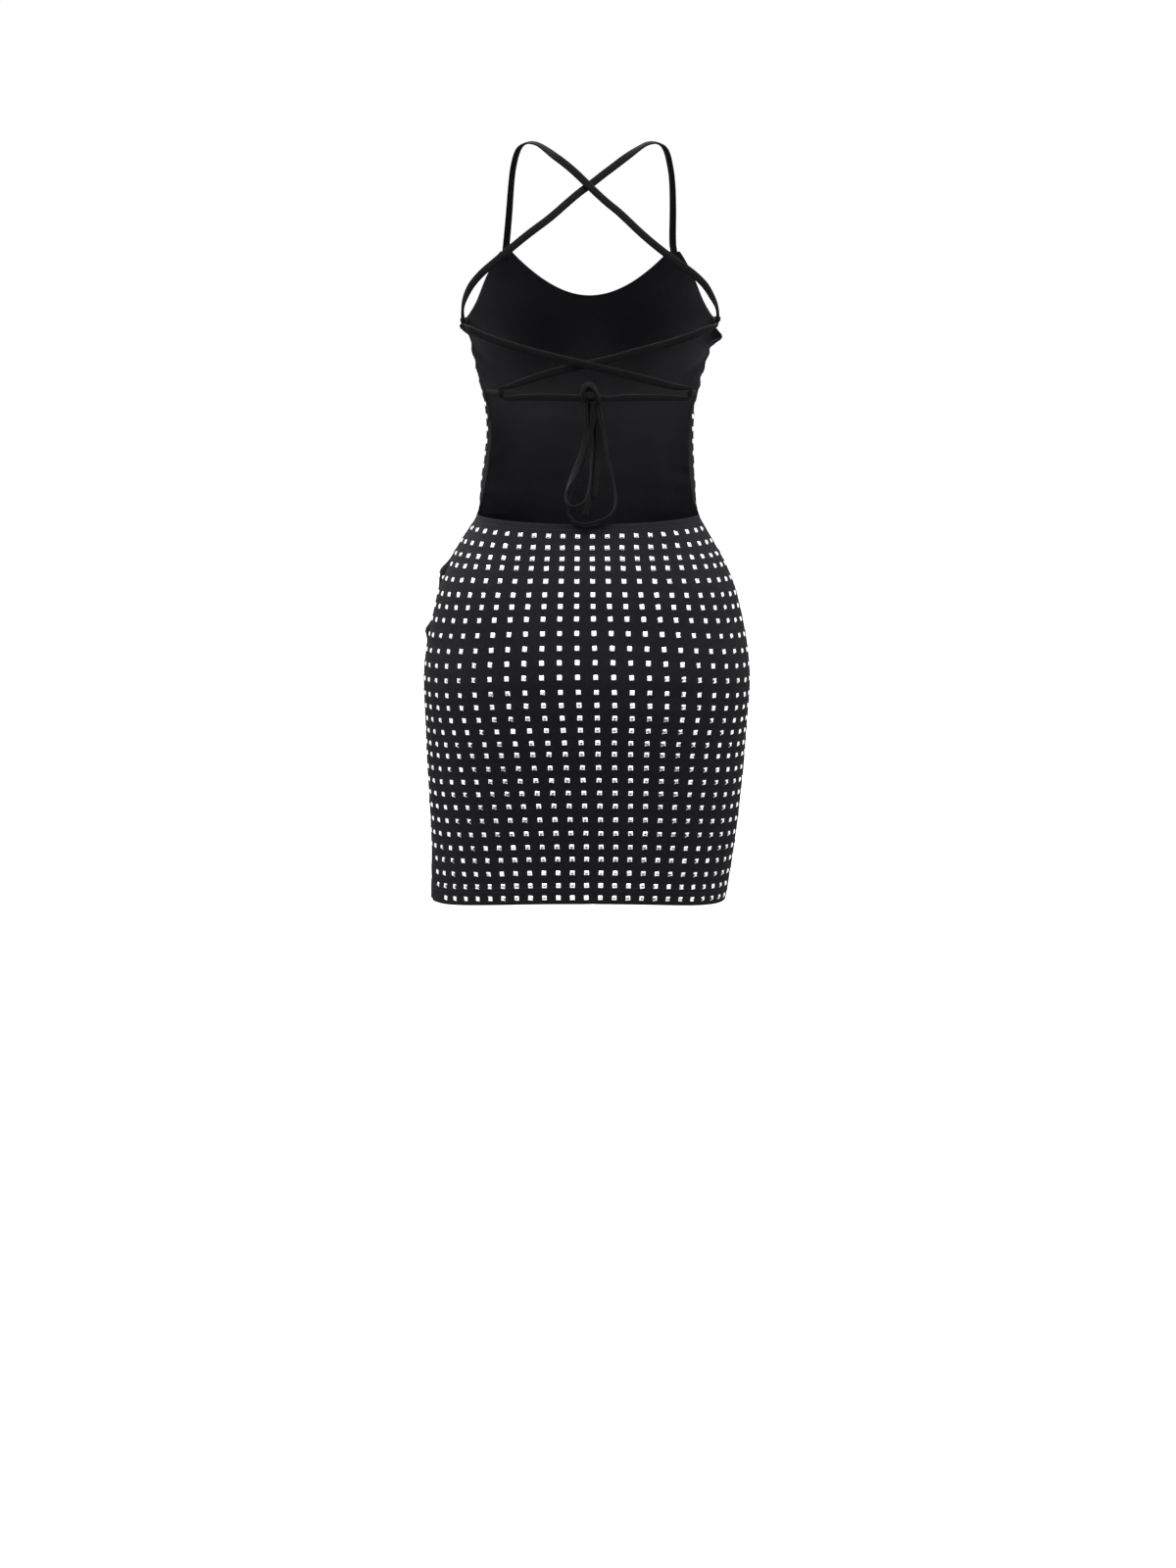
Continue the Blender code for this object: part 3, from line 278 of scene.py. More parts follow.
STRAP_RIGHT = table(
    "angle height out bunched",
    (105.0, -0.0182), (101.1, -0.024), (96.3, -0.0321), (90.6, -0.0434), (86.0, -0.0526),
    (81.0, -0.0638), (75.2, -0.0768), (68.0, -0.0905), (58.8, -0.1064), (50.2, -0.1184),
    (40.6, -0.1294), (29.9, -0.1408, 0.0018), (19.0, -0.1518, 0.0024, 0.1),
    (10.5, -0.1602, 0.003, 0.4), (4.6, -0.1675, 0.0033, 0.8), (1.9, -0.1722, LOOP_OUT, 1.0),
    (1.9, -0.1755, LOOP_OUT, 1.0), (1.9, -0.1788, LOOP_OUT, 1.0), (5.2, -0.1806, 0.0034, 1.0),
    (11.5, -0.182, 0.0031, 0.8), (18.8, -0.1842, 0.0026, 0.4), (26.2, -0.188, 0.0019, 0.1),
    (35.6, -0.1932), (44.5, -0.198), (56.6, -0.204), (67.8, -0.2096), (78.2, -0.2148, 0.003),
    (83.6, -0.2173, 0.0044), (89.3, -0.22, 0.0047), (95.5, -0.2232, 0.0044),
    (102.1, -0.2268, 0.003), (109.5, -0.2307, 0.0018), (119.6, -0.2358),
    (131.0, -0.2403, LACE_REST, 0.1), (140.0, -0.2428, 0.0018, 0.3), (146.9, -0.2431, 0.0026, 0.7),
    (151.5, -0.2441, LOOP_OUT, 1.0), (153.5, -0.2457, LOOP_OUT, 1.0),
    (153.5, -0.2488, LOOP_OUT, 1.0), (153.5, -0.2519, LOOP_OUT, 1.0),
    (151.5, -0.2536, LOOP_OUT, 1.0), (146.9, -0.2541, 0.0026, 0.7), (136.5, -0.2534, 0.0018, 0.4),
    (120.7, -0.2531, LACE_REST, 0.2), (108.4, -0.2533, LACE_REST, 0.2),
    (103.5, -0.2536, 0.0018, 0.4), (100.0, -0.2539, 0.0021, 0.6),
    usual=(LACE_REST, 0.0))
LOOPS = table(
    "name side strap_angle height",
    ("bust_loop_left", 1, 1.9, -0.1755), ("bust_loop_right", -1, 178.1, -0.1745),
    ("waist_loop_left", 1, 38.2, -0.2482), ("waist_loop_right", -1, 153.5, -0.2488),
)
# Strands of the bow: place, height over the figure, share of the full width, and the
# turn from lying flat in degrees.
BOW_COLUMNS = "x height out share turn"
BOW = {
    "bow_tail_right": table(
        BOW_COLUMNS,
        (-0.0072, -0.2577, 0.0062, 0.46), (-0.0072, -0.262, 0.0062, 0.46),
        (-0.0071, -0.2676, 0.0062, 0.5), (-0.0088, -0.2765, 0.006, 0.64),
        (-0.0102, -0.2846, 0.0058, 0.72), (-0.011, -0.2937, 0.0056, 0.75),
        (-0.0111, -0.3027, 0.0055, 0.75), (-0.0107, -0.3109, 0.0054, 0.75),
        (-0.01, -0.3191, 0.0053, 0.74), (-0.0089, -0.328, 0.0052, 0.72),
        (-0.008, -0.3369, 0.0052, 0.7), (-0.0071, -0.3457, 0.0052, 0.66),
        (-0.0065, -0.3545, 0.0052, 0.6),
        usual=(0.0,)),
    "bow_tail_left": table(
        BOW_COLUMNS,
        (-0.0046, -0.2577, 0.0024, 0.58), (-0.0046, -0.262, 0.0024, 0.58),
        (-0.005, -0.2708, 0.0024, 0.6), (-0.0062, -0.2807, 0.0024, 0.62),
        (-0.0078, -0.2897, 0.0024, 0.62), (-0.0083, -0.2976, 0.0024, 0.62),
        (-0.0076, -0.3066, 0.0024, 0.64), (-0.0069, -0.3166, 0.0024, 0.66),
        (-0.0061, -0.3264, 0.0024, 0.68), (-0.0052, -0.3362, 0.0024, 0.7),
        (-0.0041, -0.3459, 0.0024, 0.7), (-0.0024, -0.3537, 0.0024, 0.68),
        (-0.0004, -0.3605, 0.0024, 0.66), (0.0011, -0.3653, 0.0024, 0.64),
        (0.003, -0.3713, 0.0024, 0.72),
        usual=(0.0,)),
    "bow_loop_small": table(
        BOW_COLUMNS,
        (0.0015, -0.2577, 0.0112, 0.42, 0.0), (0.0015, -0.262, 0.0113, 0.42, 0.0),
        (0.0012, -0.2712, 0.0116, 0.45, 0.0), (0.0012, -0.2802, 0.0118, 0.48, 4.0),
        (0.0019, -0.2887, 0.012, 0.54, 8.0), (0.0028, -0.2969, 0.0122, 0.62, 12.0),
        (0.0052, -0.3075, 0.0125, 0.84, 18.0), (0.0081, -0.3184, 0.0128, 0.95, 22.0),
        (0.012, -0.3288, 0.013, 1.0, 25.0), (0.0162, -0.339, 0.0133, 1.0, 42.0),
        (0.0184, -0.3439, 0.0135, 1.0, 58.0), (0.0202, -0.349, 0.0136, 1.0, 74.0),
        (0.0214, -0.354, 0.0137, 1.0, 86.0), (0.0214, -0.359, 0.0138), (0.0193, -0.3637, 0.0138),
        (0.015, -0.3663, 0.0138), (0.0099, -0.366, 0.0138), (0.0052, -0.3631, 0.0136),
        (0.0014, -0.3573, 0.0132), (-0.0009, -0.3486, 0.0124), (-0.0021, -0.3384, 0.0114),
        (-0.0029, -0.3282, 0.0104), (-0.003, -0.3178, 0.0086, 0.9), (-0.0034, -0.307, 0.0066, 0.7),
        (-0.0028, -0.2967, 0.0054, 0.6), (-0.0018, -0.2866, 0.0052, 0.56),
        (-0.0011, -0.2765, 0.0055, 0.58), (-0.0009, -0.2666, 0.0055, 0.58),
        (-0.0009, -0.262, 0.0055, 0.58), (-0.0009, -0.2577, 0.0055, 0.58),
        usual=(1.0, 90.0)),
    "bow_loop_large": table(
        BOW_COLUMNS,
        (-0.0104, -0.2577, 0.0062, 0.7), (-0.0107, -0.262, 0.0062, 0.72),
        (-0.0123, -0.2666, 0.0062, 0.8), (-0.0133, -0.2725, 0.0062, 0.9),
        (-0.0145, -0.2795, 0.0062), (-0.0158, -0.2876, 0.0062), (-0.0172, -0.2967, 0.0062),
        (-0.0185, -0.3069, 0.0061), (-0.0201, -0.3172, 0.006), (-0.0225, -0.3272, 0.006),
        (-0.0248, -0.3371, 0.0058), (-0.0266, -0.3469, 0.0058), (-0.0276, -0.3548, 0.0058),
        (-0.0274, -0.3616, 0.006), (-0.0256, -0.3673, 0.0062), (-0.0216, -0.3726, 0.0064),
        (-0.0155, -0.3764, 0.0066), (-0.0077, -0.3793, 0.0068), (0.0, -0.381, 0.0068),
        (0.0068, -0.3811, 0.0066), (0.0123, -0.3789, 0.0062), (0.0165, -0.375, 0.0058),
        (0.0189, -0.3701, 0.0055), (0.0198, -0.3648, 0.0053), (0.0189, -0.3594, 0.0053),
        (0.0171, -0.3536, 0.0054), (0.0143, -0.3468, 0.0056), (0.0108, -0.3381, 0.006),
        (0.0073, -0.3293, 0.0066), (0.0036, -0.3205, 0.0076, 1.0, 84.0),
        (0.0018, -0.314, 0.009, 0.78, 70.0), (0.0005, -0.3072, 0.0099, 0.58, 50.0),
        (-0.001, -0.2989, 0.0104, 0.52, 28.0), (-0.0029, -0.2876, 0.0104, 0.62, 10.0),
        (-0.0046, -0.2772, 0.0106, 0.62, 0.0), (-0.005, -0.2673, 0.0106, 0.6, 0.0),
        (-0.005, -0.262, 0.0106, 0.58, 0.0), (-0.005, -0.2577, 0.0106, 0.58, 0.0),
        usual=(1.0, 90.0)),
}

# Knot: level sections of its core, shifted sideways because it leans into the bow.
KNOT_ROWS = table(
    "share shift half_width half_depth",
    (0.0, 0.0024, 0.0016, 0.0018), (0.1, 0.0024, 0.0042, 0.0038), (0.28, 0.002, 0.0064, 0.0052),
    (0.52, 0.001, 0.0078, 0.0058), (0.78, 0.0002, 0.0084, 0.0058), (0.93, -0.0004, 0.0082, 0.0054),
    (1.0, -0.0008, 0.0074, 0.0046),
)
KNOT_SQUARE = 0.80
KNOT_HOLLOW = 0.0022                 # depth and half width of the hollow under the knot
KNOT_BUNCHED = 0.35
# Turns of lace over the core: sideways from the knot's middle, share of its height,
# height of the lace's middle over the core, share of the full width. The first binds
# the core level; the broad one climbs from the bow, turns over it and runs down again.
KNOT_TURN_COLUMNS = "x share lift width"
KNOT_TURNS = (
    table(
        KNOT_TURN_COLUMNS,
        (0.0088, 0.5, -0.0008, 0.66), (0.0062, 0.58, 0.0002, 0.74), (0.0022, 0.63, 0.0006, 0.8),
        (-0.002, 0.64, 0.0006, 0.8), (-0.006, 0.6, 0.0002, 0.74), (-0.0088, 0.52, -0.0008, 0.66),
    ),
    table(
        KNOT_TURN_COLUMNS,
        (0.003, 1.02, -0.001, 0.56), (0.0054, 0.9, 0.0006, 0.62), (0.0067, 0.66, 0.0016, 0.7),
        (0.0062, 0.4, 0.0018, 0.74), (0.0044, 0.2, 0.0018, 0.76), (0.0012, 0.11, 0.0018, 0.76),
        (-0.0022, 0.2, 0.0018, 0.76), (-0.005, 0.4, 0.0018, 0.74), (-0.007, 0.62, 0.0017, 0.7),
        (-0.0084, 0.84, 0.001, 0.64), (-0.0096, 1.03, 0.0, 0.6),
    ),
)

# ---------------------------------------------------------------- studs
# Rows of studs on the skirt: share of its length from the back's top edge, and the
# distance between columns, which is wider where the cloth is stretched most.
STUD_ROWS = table(
    "down pitch",
    (0.033, 0.0147), (0.065, 0.015), (0.096, 0.01535), (0.122, 0.0157), (0.157, 0.01605),
    (0.194, 0.01645), (0.226, 0.01675), (0.26, 0.0172), (0.299, 0.0176), (0.338, 0.01795),
    (0.375, 0.0182), (0.412, 0.0183), (0.449, 0.01815), (0.481, 0.01795), (0.513, 0.0176),
    (0.544, 0.0172), (0.576, 0.0168), (0.605, 0.01655), (0.64, 0.01635), (0.673, 0.0161),
    (0.706, 0.0159), (0.74, 0.01565), (0.776, 0.0155), (0.812, 0.0153), (0.848, 0.0151),
    (0.881, 0.01485), (0.917, 0.0147), (0.95, 0.0145), (0.982, 0.0144),
)
# The same for the bodice, whose rows are evenly spaced.
BODICE_PITCH = table(
    "height pitch",
    (-0.105, 0.015), (-0.228, 0.0165), (-0.3, 0.0146), (-0.375, 0.0146),
)
BODICE_ROW_PITCH = 0.0128
STUD_RINGS = table(
    "half height", (1.0, -0.25), (1.0, 0.3), (0.91, 0.44), (0.5, 0.96), (0.44, 1.0), (0.38, 0.97))
STUD_CORNER = 0.84           # where a side ends before the cut corner
STUD_DISH = 0.96             # height of the middle of a stud's top
STUD_TILT = 0.03
STUD_SIZES = (0.97, 1.04)
SLIT_CLEAR = 0.012           # height above the slit from which its wider margin holds
STITCH_RINGS = table(
    "along size lift", (-0.5, 0.25, -0.10), (-0.36, 0.8, 0.10), (-0.12, 1.0, 0.20),
    (0.12, 1.0, 0.20), (0.36, 0.8, 0.10), (0.5, 0.25, -0.10))
STITCH_SIDES, STITCH_HALF, STITCH_LIFT = 6, 0.00022, 0.001
STITCH_PITCH = 1.35          # distance between stitches, as a share of their length
STITCH_AHEAD = 0.002         # how far along its route a stitch points

# ---------------------------------------------------------------- studio
# Shades of the studio that shiny things mirror, by height above the level in degrees.
STUDIO_SHADES = table(
    "elevation shade",
    (-90.0, 1.0), (-36.0, 1.0), (-31.0, 0.03), (-23.0, 0.03), (-19.0, 1.0), (-13.0, 1.0),
    (-11.0, 0.03), (-6.5, 0.03), (-4.0, 0.9), (30.0, 1.0),
)
STUDIO_SIDES = (0.60, 0.92)  # where its dark bands fade out to both sides
STUDIO_SOFT = (0.45, 0.55)   # how its soft light grows from the floor up, and its level
LIGHTS = table(
    "name x y z size power",
    ("key_light", 1.5, 2.6, 1.3, 2.2, "key"),
    ("fill_light", -2.2, 1.6, 0.5, 2.0, "fill"),
    ("front_light", 0.8, -2.2, 2.2, 1.6, "front"),
)
LIGHT_TARGET = (0.0, 0.0, -0.45)
SUN_SPREAD, SUN_TILT = 60.0, -12.0   # in degrees
FLOOR_HALF = 14.0
FILM_WIDTH = 36.0
SIGHT_END = 60.0

# ---------------------------------------------------------------- settings
LengthProperty = partial(FloatProperty, precision=4, unit="LENGTH")
AngleProperty = partial(FloatProperty, subtype="ANGLE", unit="ROTATION")
PowerProperty = partial(FloatProperty, min=0.0, max=1000.0, unit="POWER")
ColourProperty = partial(FloatVectorProperty, subtype="COLOR", min=0.0, max=1.0)


class DressClothSettings(bpy.types.PropertyGroup):
    wall: LengthProperty(
        name="Cloth", description="Thickness of one layer of the jersey",
        default=0.0010, min=0.0004, max=0.0020)
    turned: LengthProperty(
        name="Turned edge", description="Thickness of the cloth where its edge is turned in",
        default=0.0016, min=0.0005, max=0.0030)
    turning: LengthProperty(
        name="Turning", description="Width of the turned edges of neckline, armholes and back",
        default=0.0085, min=0.002, max=0.02)
    hem: LengthProperty(
        name="Hem", description="Width of the turned hem", default=0.020, min=0.005, max=0.05)
    grid: LengthProperty(
        name="Grid", description="Size of the mesh's cells on the panels",
        default=0.0038, min=0.002, max=0.02)
    crease: FloatProperty(
        name="Creases", description="Depth of the soft creases, as a share of their own",
        default=1.0, min=0.0, max=3.0, subtype="FACTOR")
    wale: LengthProperty(
        name="Wale", description="Width of one column of knit stitches",
        default=0.0009, min=0.0003, max=0.003)
    colour: ColourProperty(
        name="Jersey", description="Colour of the jersey", default=(0.0180, 0.0180, 0.0212))


class DressStudSettings(bpy.types.PropertyGroup):
    width: LengthProperty(
        name="Width", description="Side of one square stud", default=0.0048, min=0.002, max=0.01)
    rise: LengthProperty(
        name="Rise", description="Height of a stud above the cloth",
        default=0.0014, min=0.0003, max=0.004)
    margin: LengthProperty(
        name="Margin", description="Bare cloth along the free edges",
        default=0.0125, min=0.0, max=0.04)
    seam: LengthProperty(
        name="Seam", description="Bare cloth along the side seams",
        default=0.0042, min=0.0, max=0.04)
    slit: LengthProperty(
        name="Slit", description="Bare cloth along the slit", default=0.022, min=0.0, max=0.06)
    sway: AngleProperty(
        name="Sway", description="How far a stud may be turned from true",
        default=math.radians(5.0), min=0.0, max=0.5)
    seed: IntProperty(
        name="Seed", description="Choice of the small unevenness of the studs", default=7, min=0)
    colour: ColourProperty(
        name="Metal", description="Colour of the studs", default=(0.84, 0.84, 0.85))


class DressLaceSettings(bpy.types.PropertyGroup):
    sides: IntProperty(
        name="Sides", description="Points round the flat tube", default=18, min=8, max=48)
    step: LengthProperty(
        name="Step", description="Distance between the tube's sections",
        default=0.0026, min=0.001, max=0.01)
    colour: ColourProperty(
        name="Lace", description="Colour of the straps and the bow",
        default=(0.0085, 0.0086, 0.0082))
    thread: ColourProperty(
        name="Thread", description="Colour of the sewing thread", default=(0.010, 0.010, 0.0115))
    stitch: LengthProperty(
        name="Stitch", description="Length of one stitch", default=0.0026, min=0.001, max=0.006)


class DressStageSettings(bpy.types.PropertyGroup):
    distance: LengthProperty(
        name="Distance", description="How far the camera stands behind the dress",
        default=2.3, min=0.5, max=10.0)
    height: LengthProperty(
        name="Height", description="Height of the camera against the strap tops",
        default=-0.177, min=-2.0, max=3.0)
    tilt: AngleProperty(
        name="Tilt", description="How far the camera looks down",
        default=math.radians(12.0), min=-1.0, max=1.5)
    lens: FloatProperty(
        name="Lens", description="Focal length in millimetres", default=50.0, min=10.0, max=200.0)
    drop: LengthProperty(
        name="Floor", description="How far the floor lies below the hem",
        default=0.62, min=0.01, max=2.0)
    floor: ColourProperty(
        name="Floor colour", description="Colour of the plain floor", default=(0.93, 0.93, 0.93))
    key: PowerProperty(
        name="Key light", description="Power of the large soft light", default=14.0)
    top: FloatProperty(
        name="Top light", description="Strength of the broad light overhead",
        default=4.0, min=0.0, max=20.0)
    fill: PowerProperty(
        name="Fill light", description="Power of the light on the other side", default=6.0)
    front: PowerProperty(
        name="Front light", description="Power of the light before the wearer's front",
        default=95.0)
    sky: FloatProperty(
        name="Studio", description="Brightness of the studio's soft light",
        default=0.30, min=0.0, max=5.0)
    gloss: FloatProperty(
        name="Mirrored", description="Brightness of the studio in shiny things",
        default=1.35, min=0.0, max=5.0)


# ---------------------------------------------------------------- plain maths
def column(rows, name):
    return np.array([getattr(row, name) for row in rows], float)


def smooth(rows, heights, name):
    """Smooth curve through one column of a table whose heights fall."""
    levels, values = column(rows, "height"), column(rows, name)
    far_levels = np.r_[levels[0], levels, levels[-1]]
    far_values = np.r_[values[0], values, values[-1]]
    slopes = (far_values[2:] - far_values[:-2]) / (far_levels[2:] - far_levels[:-2])
    place = np.clip(heights, levels[-1], levels[0])
    i = np.clip(np.searchsorted(-levels, -place, side="left") - 1, 0, len(levels) - 2)
    span = levels[i + 1] - levels[i]
    t = (place - levels[i]) / span
    return (
        (2 * t ** 3 - 3 * t ** 2 + 1) * values[i]
        + (t ** 3 - 2 * t ** 2 + t) * span * slopes[i]
        + (3 * t ** 2 - 2 * t ** 3) * values[i + 1]
        + (t ** 3 - t ** 2) * span * slopes[i + 1]
    )


def straight(rows, heights, name):
    """Straight lines through one column of a table whose heights fall."""
    return np.interp(-np.asarray(heights, float), -column(rows, "height"), column(rows, name))


def ease(t):
    """Smooth step from 0 to 1."""
    t = np.clip(t, 0.0, 1.0)
    return t * t * (3.0 - 2.0 * t)


def bell(t):
    return np.exp(-np.square(t))


def squared(t, power):
    """Sine or cosine made squarer."""
    return np.sign(t) * np.abs(t) ** power


def unit(vectors):
    return vectors / np.linalg.norm(vectors, axis=-1, keepdims=True)


def run_along(places):
    """Distances along a line of points from its first."""
    steps = np.linalg.norm(np.diff(places, axis=0), axis=1)
    return np.concatenate(((0.0,), np.cumsum(steps)))


def mirrored(side, angle):
    """Angle on the wearer's left, or the same place on the right."""
    return angle if side > 0 else 180.0 - angle


def packed(length, step, near=(0.0, 0.0006, 0.0014, 0.0026, 0.0043, 0.0068)):
    """Distances along a length, close together at both of its ends."""
    near = np.array(near)
    inner = length - 2.0 * near[-1]
    count = max(2, round(inner / step))
    middle = near[-1] + inner * np.arange(1, count) / count
    return np.concatenate((near, middle, (length - near)[::-1]))


# ---------------------------------------------------------------- the figure
def figure_point(angle, height):
    """Points of the figure at angles in degrees and heights."""
    angle, height = np.broadcast_arrays(np.asarray(angle, float), np.asarray(height, float))
    turn = np.radians(angle)
    cos, sin = np.cos(turn), np.sin(turn)
    depth = np.where(sin > 0, smooth(FIGURE, height, "back"), smooth(FIGURE, height, "front"))
    x = smooth(FIGURE, height, "half_width") * (cos + SQUARENESS * (cos - np.cos(3 * turn)))
    y = depth * (sin + SQUARENESS * (sin + np.sin(3 * turn)))
    lobes = sum(bell((x - side * BUST_APEX) / BUST_SPREAD) for side in (-1, 1))
    bust = BUST_FULLNESS * lobes * bell((height - BUST_HEIGHT) / BUST_SPREAD) * sin * sin
    y = y - np.where(sin < 0, bust, 0.0)
    return np.stack(
        (smooth(FIGURE, height, "shift") + x, smooth(FIGURE, height, "side_y") + y, height), -1)


def figure_round(angle, height, half=0.5):
    """Step round the figure's surface at a place."""
    return figure_point(angle + half, height) - figure_point(angle - half, height)


def figure_normal(angle, height, half=0.001):
    """Unit vectors straight out of the figure's surface."""
    upward = figure_point(angle, height + half) - figure_point(angle, height - half)
    return unit(np.cross(figure_round(angle, height), upward))


def off_figure(angle, height, out):
    """Points a true distance out from the figure's surface."""
    return figure_point(angle, height) + figure_normal(angle, height) * np.asarray(out)[..., None]


def angle_at(x, height):
    """Angle of the back at a sideways place."""
    low, high = 1.0, 179.0
    for _ in range(24):
        middle = 0.5 * (low + high)
        if figure_point(middle, height)[0] > x:
            low = middle
        else:
            high = middle
    return 0.5 * (low + high)


# ---------------------------------------------------------------- shape of the panels
def crease_relief(creases, along, height, share):
    """Depth of the listed creases: each a soft uneven trough between low ridges."""
    ridge, ridge_place, ridge_width = 0.45, 1.9, 0.9
    narrow, widening = 0.8, 0.45
    relief = np.zeros_like(along)
    steps = np.linspace(0.0, 1.0, 25)
    for number, row in enumerate(creases):
        start = np.array((row.along, row.height))
        run = np.array((row.end_along, row.end_height)) - start
        side = np.array((-run[1], run[0])) / np.linalg.norm(run)
        line = start + run * steps[:, None] + side * (row.bow * np.sin(math.pi * steps))[:, None]
        reach = 4.0 * row.half_width
        near = (
            (along > line[:, 0].min() - reach) & (along < line[:, 0].max() + reach)
            & (height > line[:, 1].min() - reach) & (height < line[:, 1].max() + reach)
        )
        if not near.any():
            continue
        gaps = np.hypot(along[near][:, None] - line[:, 0], height[near][:, None] - line[:, 1])
        t = steps[gaps.argmin(1)]
        away = gaps.min(1) / (row.half_width * (narrow + widening * t))
        fade = np.sin(math.pi * np.clip(t * 0.92 + 0.04, 0, 1)) ** 0.7
        fade = fade * (0.82 + 0.18 * np.sin(9.0 * t + 2.3 * number))
        form = ridge * bell((away - ridge_place) / ridge_width) - bell(away)
        relief[near] += share * row.depth * fade * form
    return relief


def drape_relief(along, height):
    """Slow unevenness of the stretched cloth."""
    return sum(r.size * np.sin(r.round * along + r.upward * height + r.phase) for r in DRAPE)


def within(distance, width):
    """1 inside a turned edge, 0 past it."""
    return 1.0 - ease((distance - width) / TURNED_FADE)


def edge_relief(distance, turning, cloth):
    """Turned edge: a second layer, its stitched line and a round fold."""
    layer = (cloth.turned - cloth.wall) * EDGE_LAYER
    step = layer * (1.0 - ease((distance - turning) / EDGE_FADE))
    line = -LINE_DEPTH * bell((distance - LINE_SHARE * turning) / LINE_HALF)
    fold = -ROUND_DEPTH * np.clip(1.0 - distance / ROUND_WIDTH, 0.0, 1.0) ** 2
    return step + line + fold


def pucker(distance, along, width):
    """Small uneven ripples that stitching leaves beside it."""
    ripple, shift, swell = 610.0, 83.0, 37.0
    wave = np.sin(along * ripple + 1.7 * np.sin(along * shift))
    wave = wave * (0.6 + 0.4 * np.sin(along * swell))
    return PUCKER_HEIGHT * wave * bell((distance - 0.5 * width) / (0.6 * width))


def sewn_edge(distance, along, width, cloth):
    return edge_relief(distance, width, cloth) + pucker(distance, along, width)


def seam_relief(distance, along, depth):
    return -depth * bell(distance / SEAM_HALF) + pucker(distance, along, SEAM_PUCKER)


def front_reach(side, height):
    """Angle of the front's side edge."""
    return straight(FRONT_EDGE, height, "left" if side > 0 else "right")


def fold_swell(side, edge_angle, angle, height):
    """How far the folds of one side stand out from the cloth."""
    swell = np.zeros_like(angle)
    inward = edge_angle - angle
    for fold in FOLDS:
        if fold.side != side:
            continue
        along = inward / fold.run
        rise = ease((inward + FOLD_LEAD) / FOLD_START) if fold.height < WAIST_HEIGHT else 1.0
        centre = fold.height - fold.fall * along
        half_tall = fold.half_tall * (FOLD_NARROW + FOLD_WIDEN * along)
        form = fold.stand * rise * (1.0 - ease(along)) * bell((height - centre) / half_tall)
        swell += np.where(inward > fold.run, 0.0, form)
    return swell


def front_top(share):
    """Height of the front's top edge: neckline, strap corner, armhole."""
    inner, outer = CORNER_SHARES
    neck = NECK_HEIGHT + (CORNER_HEIGHT - NECK_HEIGHT) * (share / inner) ** 2
    turn = np.sin(0.5 * math.pi * (np.maximum(share, outer) - outer) / (1.0 - outer))
    arm = CORNER_HEIGHT + (ARM_HEIGHT - CORNER_HEIGHT) * turn
    return np.where(share <= inner, neck, np.where(share <= outer, CORNER_HEIGHT, arm))


def front_angle(side, share, height):
    """Angle on the wearer's left, to be mirrored for the right."""
    reach = front_reach(side, height)
    return -90.0 + (90.0 + reach) * share, reach


def front_arcs(side, height, count=60):
    """Shares from the centre front to a side edge and the distances to them."""
    shares = np.linspace(0.0, 1.0, count)
    angles, _ = front_angle(side, shares, np.full(count, height))
    return shares, run_along(figure_point(angles, np.full(count, height)))


def front_along(side, share, height):
    """Distance round from the centre front, for many places at once."""
    levels = np.linspace(CORNER_HEIGHT, HEM_HEIGHT, 120)
    arcs = np.array([front_arcs(side, level)[1] for level in levels])
    row = np.clip((CORNER_HEIGHT - height) / (CORNER_HEIGHT - HEM_HEIGHT), 0, 1) * (len(levels) - 1)
    col = share * (arcs.shape[1] - 1)
    i = np.minimum(row.astype(int), len(levels) - 2)
    j = np.minimum(col.astype(int), arcs.shape[1] - 2)
    s, t = row - i, col - j
    top = arcs[i, j] * (1 - t) + arcs[i, j + 1] * t
    low = arcs[i + 1, j] * (1 - t) + arcs[i + 1, j + 1] * t
    return top * (1 - s) + low * s


def front_edge_distance(share, height):
    """Distance to the front's free edges above the waist."""
    step = 0.004
    slope = front_top(np.minimum(share + step, 1.0)) - front_top(np.maximum(share - step, 0.0))
    slope = slope / (2.0 * step * HALF_FRONT)
    above = (front_top(share) - height) / np.sqrt(1.0 + slope ** 2)
    below, fade = WAIST_HEIGHT + 0.004 - height, 0.01
    beside = (1.0 - share) * HALF_FRONT + 0.02 * ease(below / fade)
    return np.minimum(above, beside)


def front_surface(side, share, height, cloth):
    """Outer face of the front, where it is turned, and its distance from the centre."""
    angle, reach = front_angle(side, share, height)
    along = front_along(side, share, height)
    out = OUTER + fold_swell(side, reach, angle, height)
    out += crease_relief(FRONT_CREASES, side * along, height, cloth.crease)
    out += drape_relief(side * along, height)
    edge, hem = front_edge_distance(share, height), height - HEM_HEIGHT
    seam = np.where(height < WAIST_HEIGHT, (1.0 - share) * HALF_FRONT, 1.0)
    out += sewn_edge(edge, height + along, cloth.turning, cloth)
    out += seam_relief(seam, height, SIDE_SEAM_DEPTH)
    out += sewn_edge(hem, along, cloth.hem, cloth)
    turned = np.maximum(within(edge, cloth.turning), within(hem, cloth.hem))
    return off_figure(mirrored(side, angle), height, out), turned, side * along


def skirt_height(down):
    """Height at the side of a share of the skirt's length."""
    return WAIST_HEIGHT + (HEM_HEIGHT - WAIST_HEIGHT) * down


def back_height(down, angle):
    """Height of a place on the skirt's back: its top dips and the seat lifts the rest."""
    lift = BACK_LIFT * np.sin(0.5 * math.pi * np.minimum(1.0, down / SEAT_SHARE))
    lift = lift - TOP_DIP * (1.0 - ease(down / SEAT_SHARE))
    middle = np.sin(np.radians(np.clip(angle, 0.0, 180.0))) ** 2
    return skirt_height(down) + lift * middle


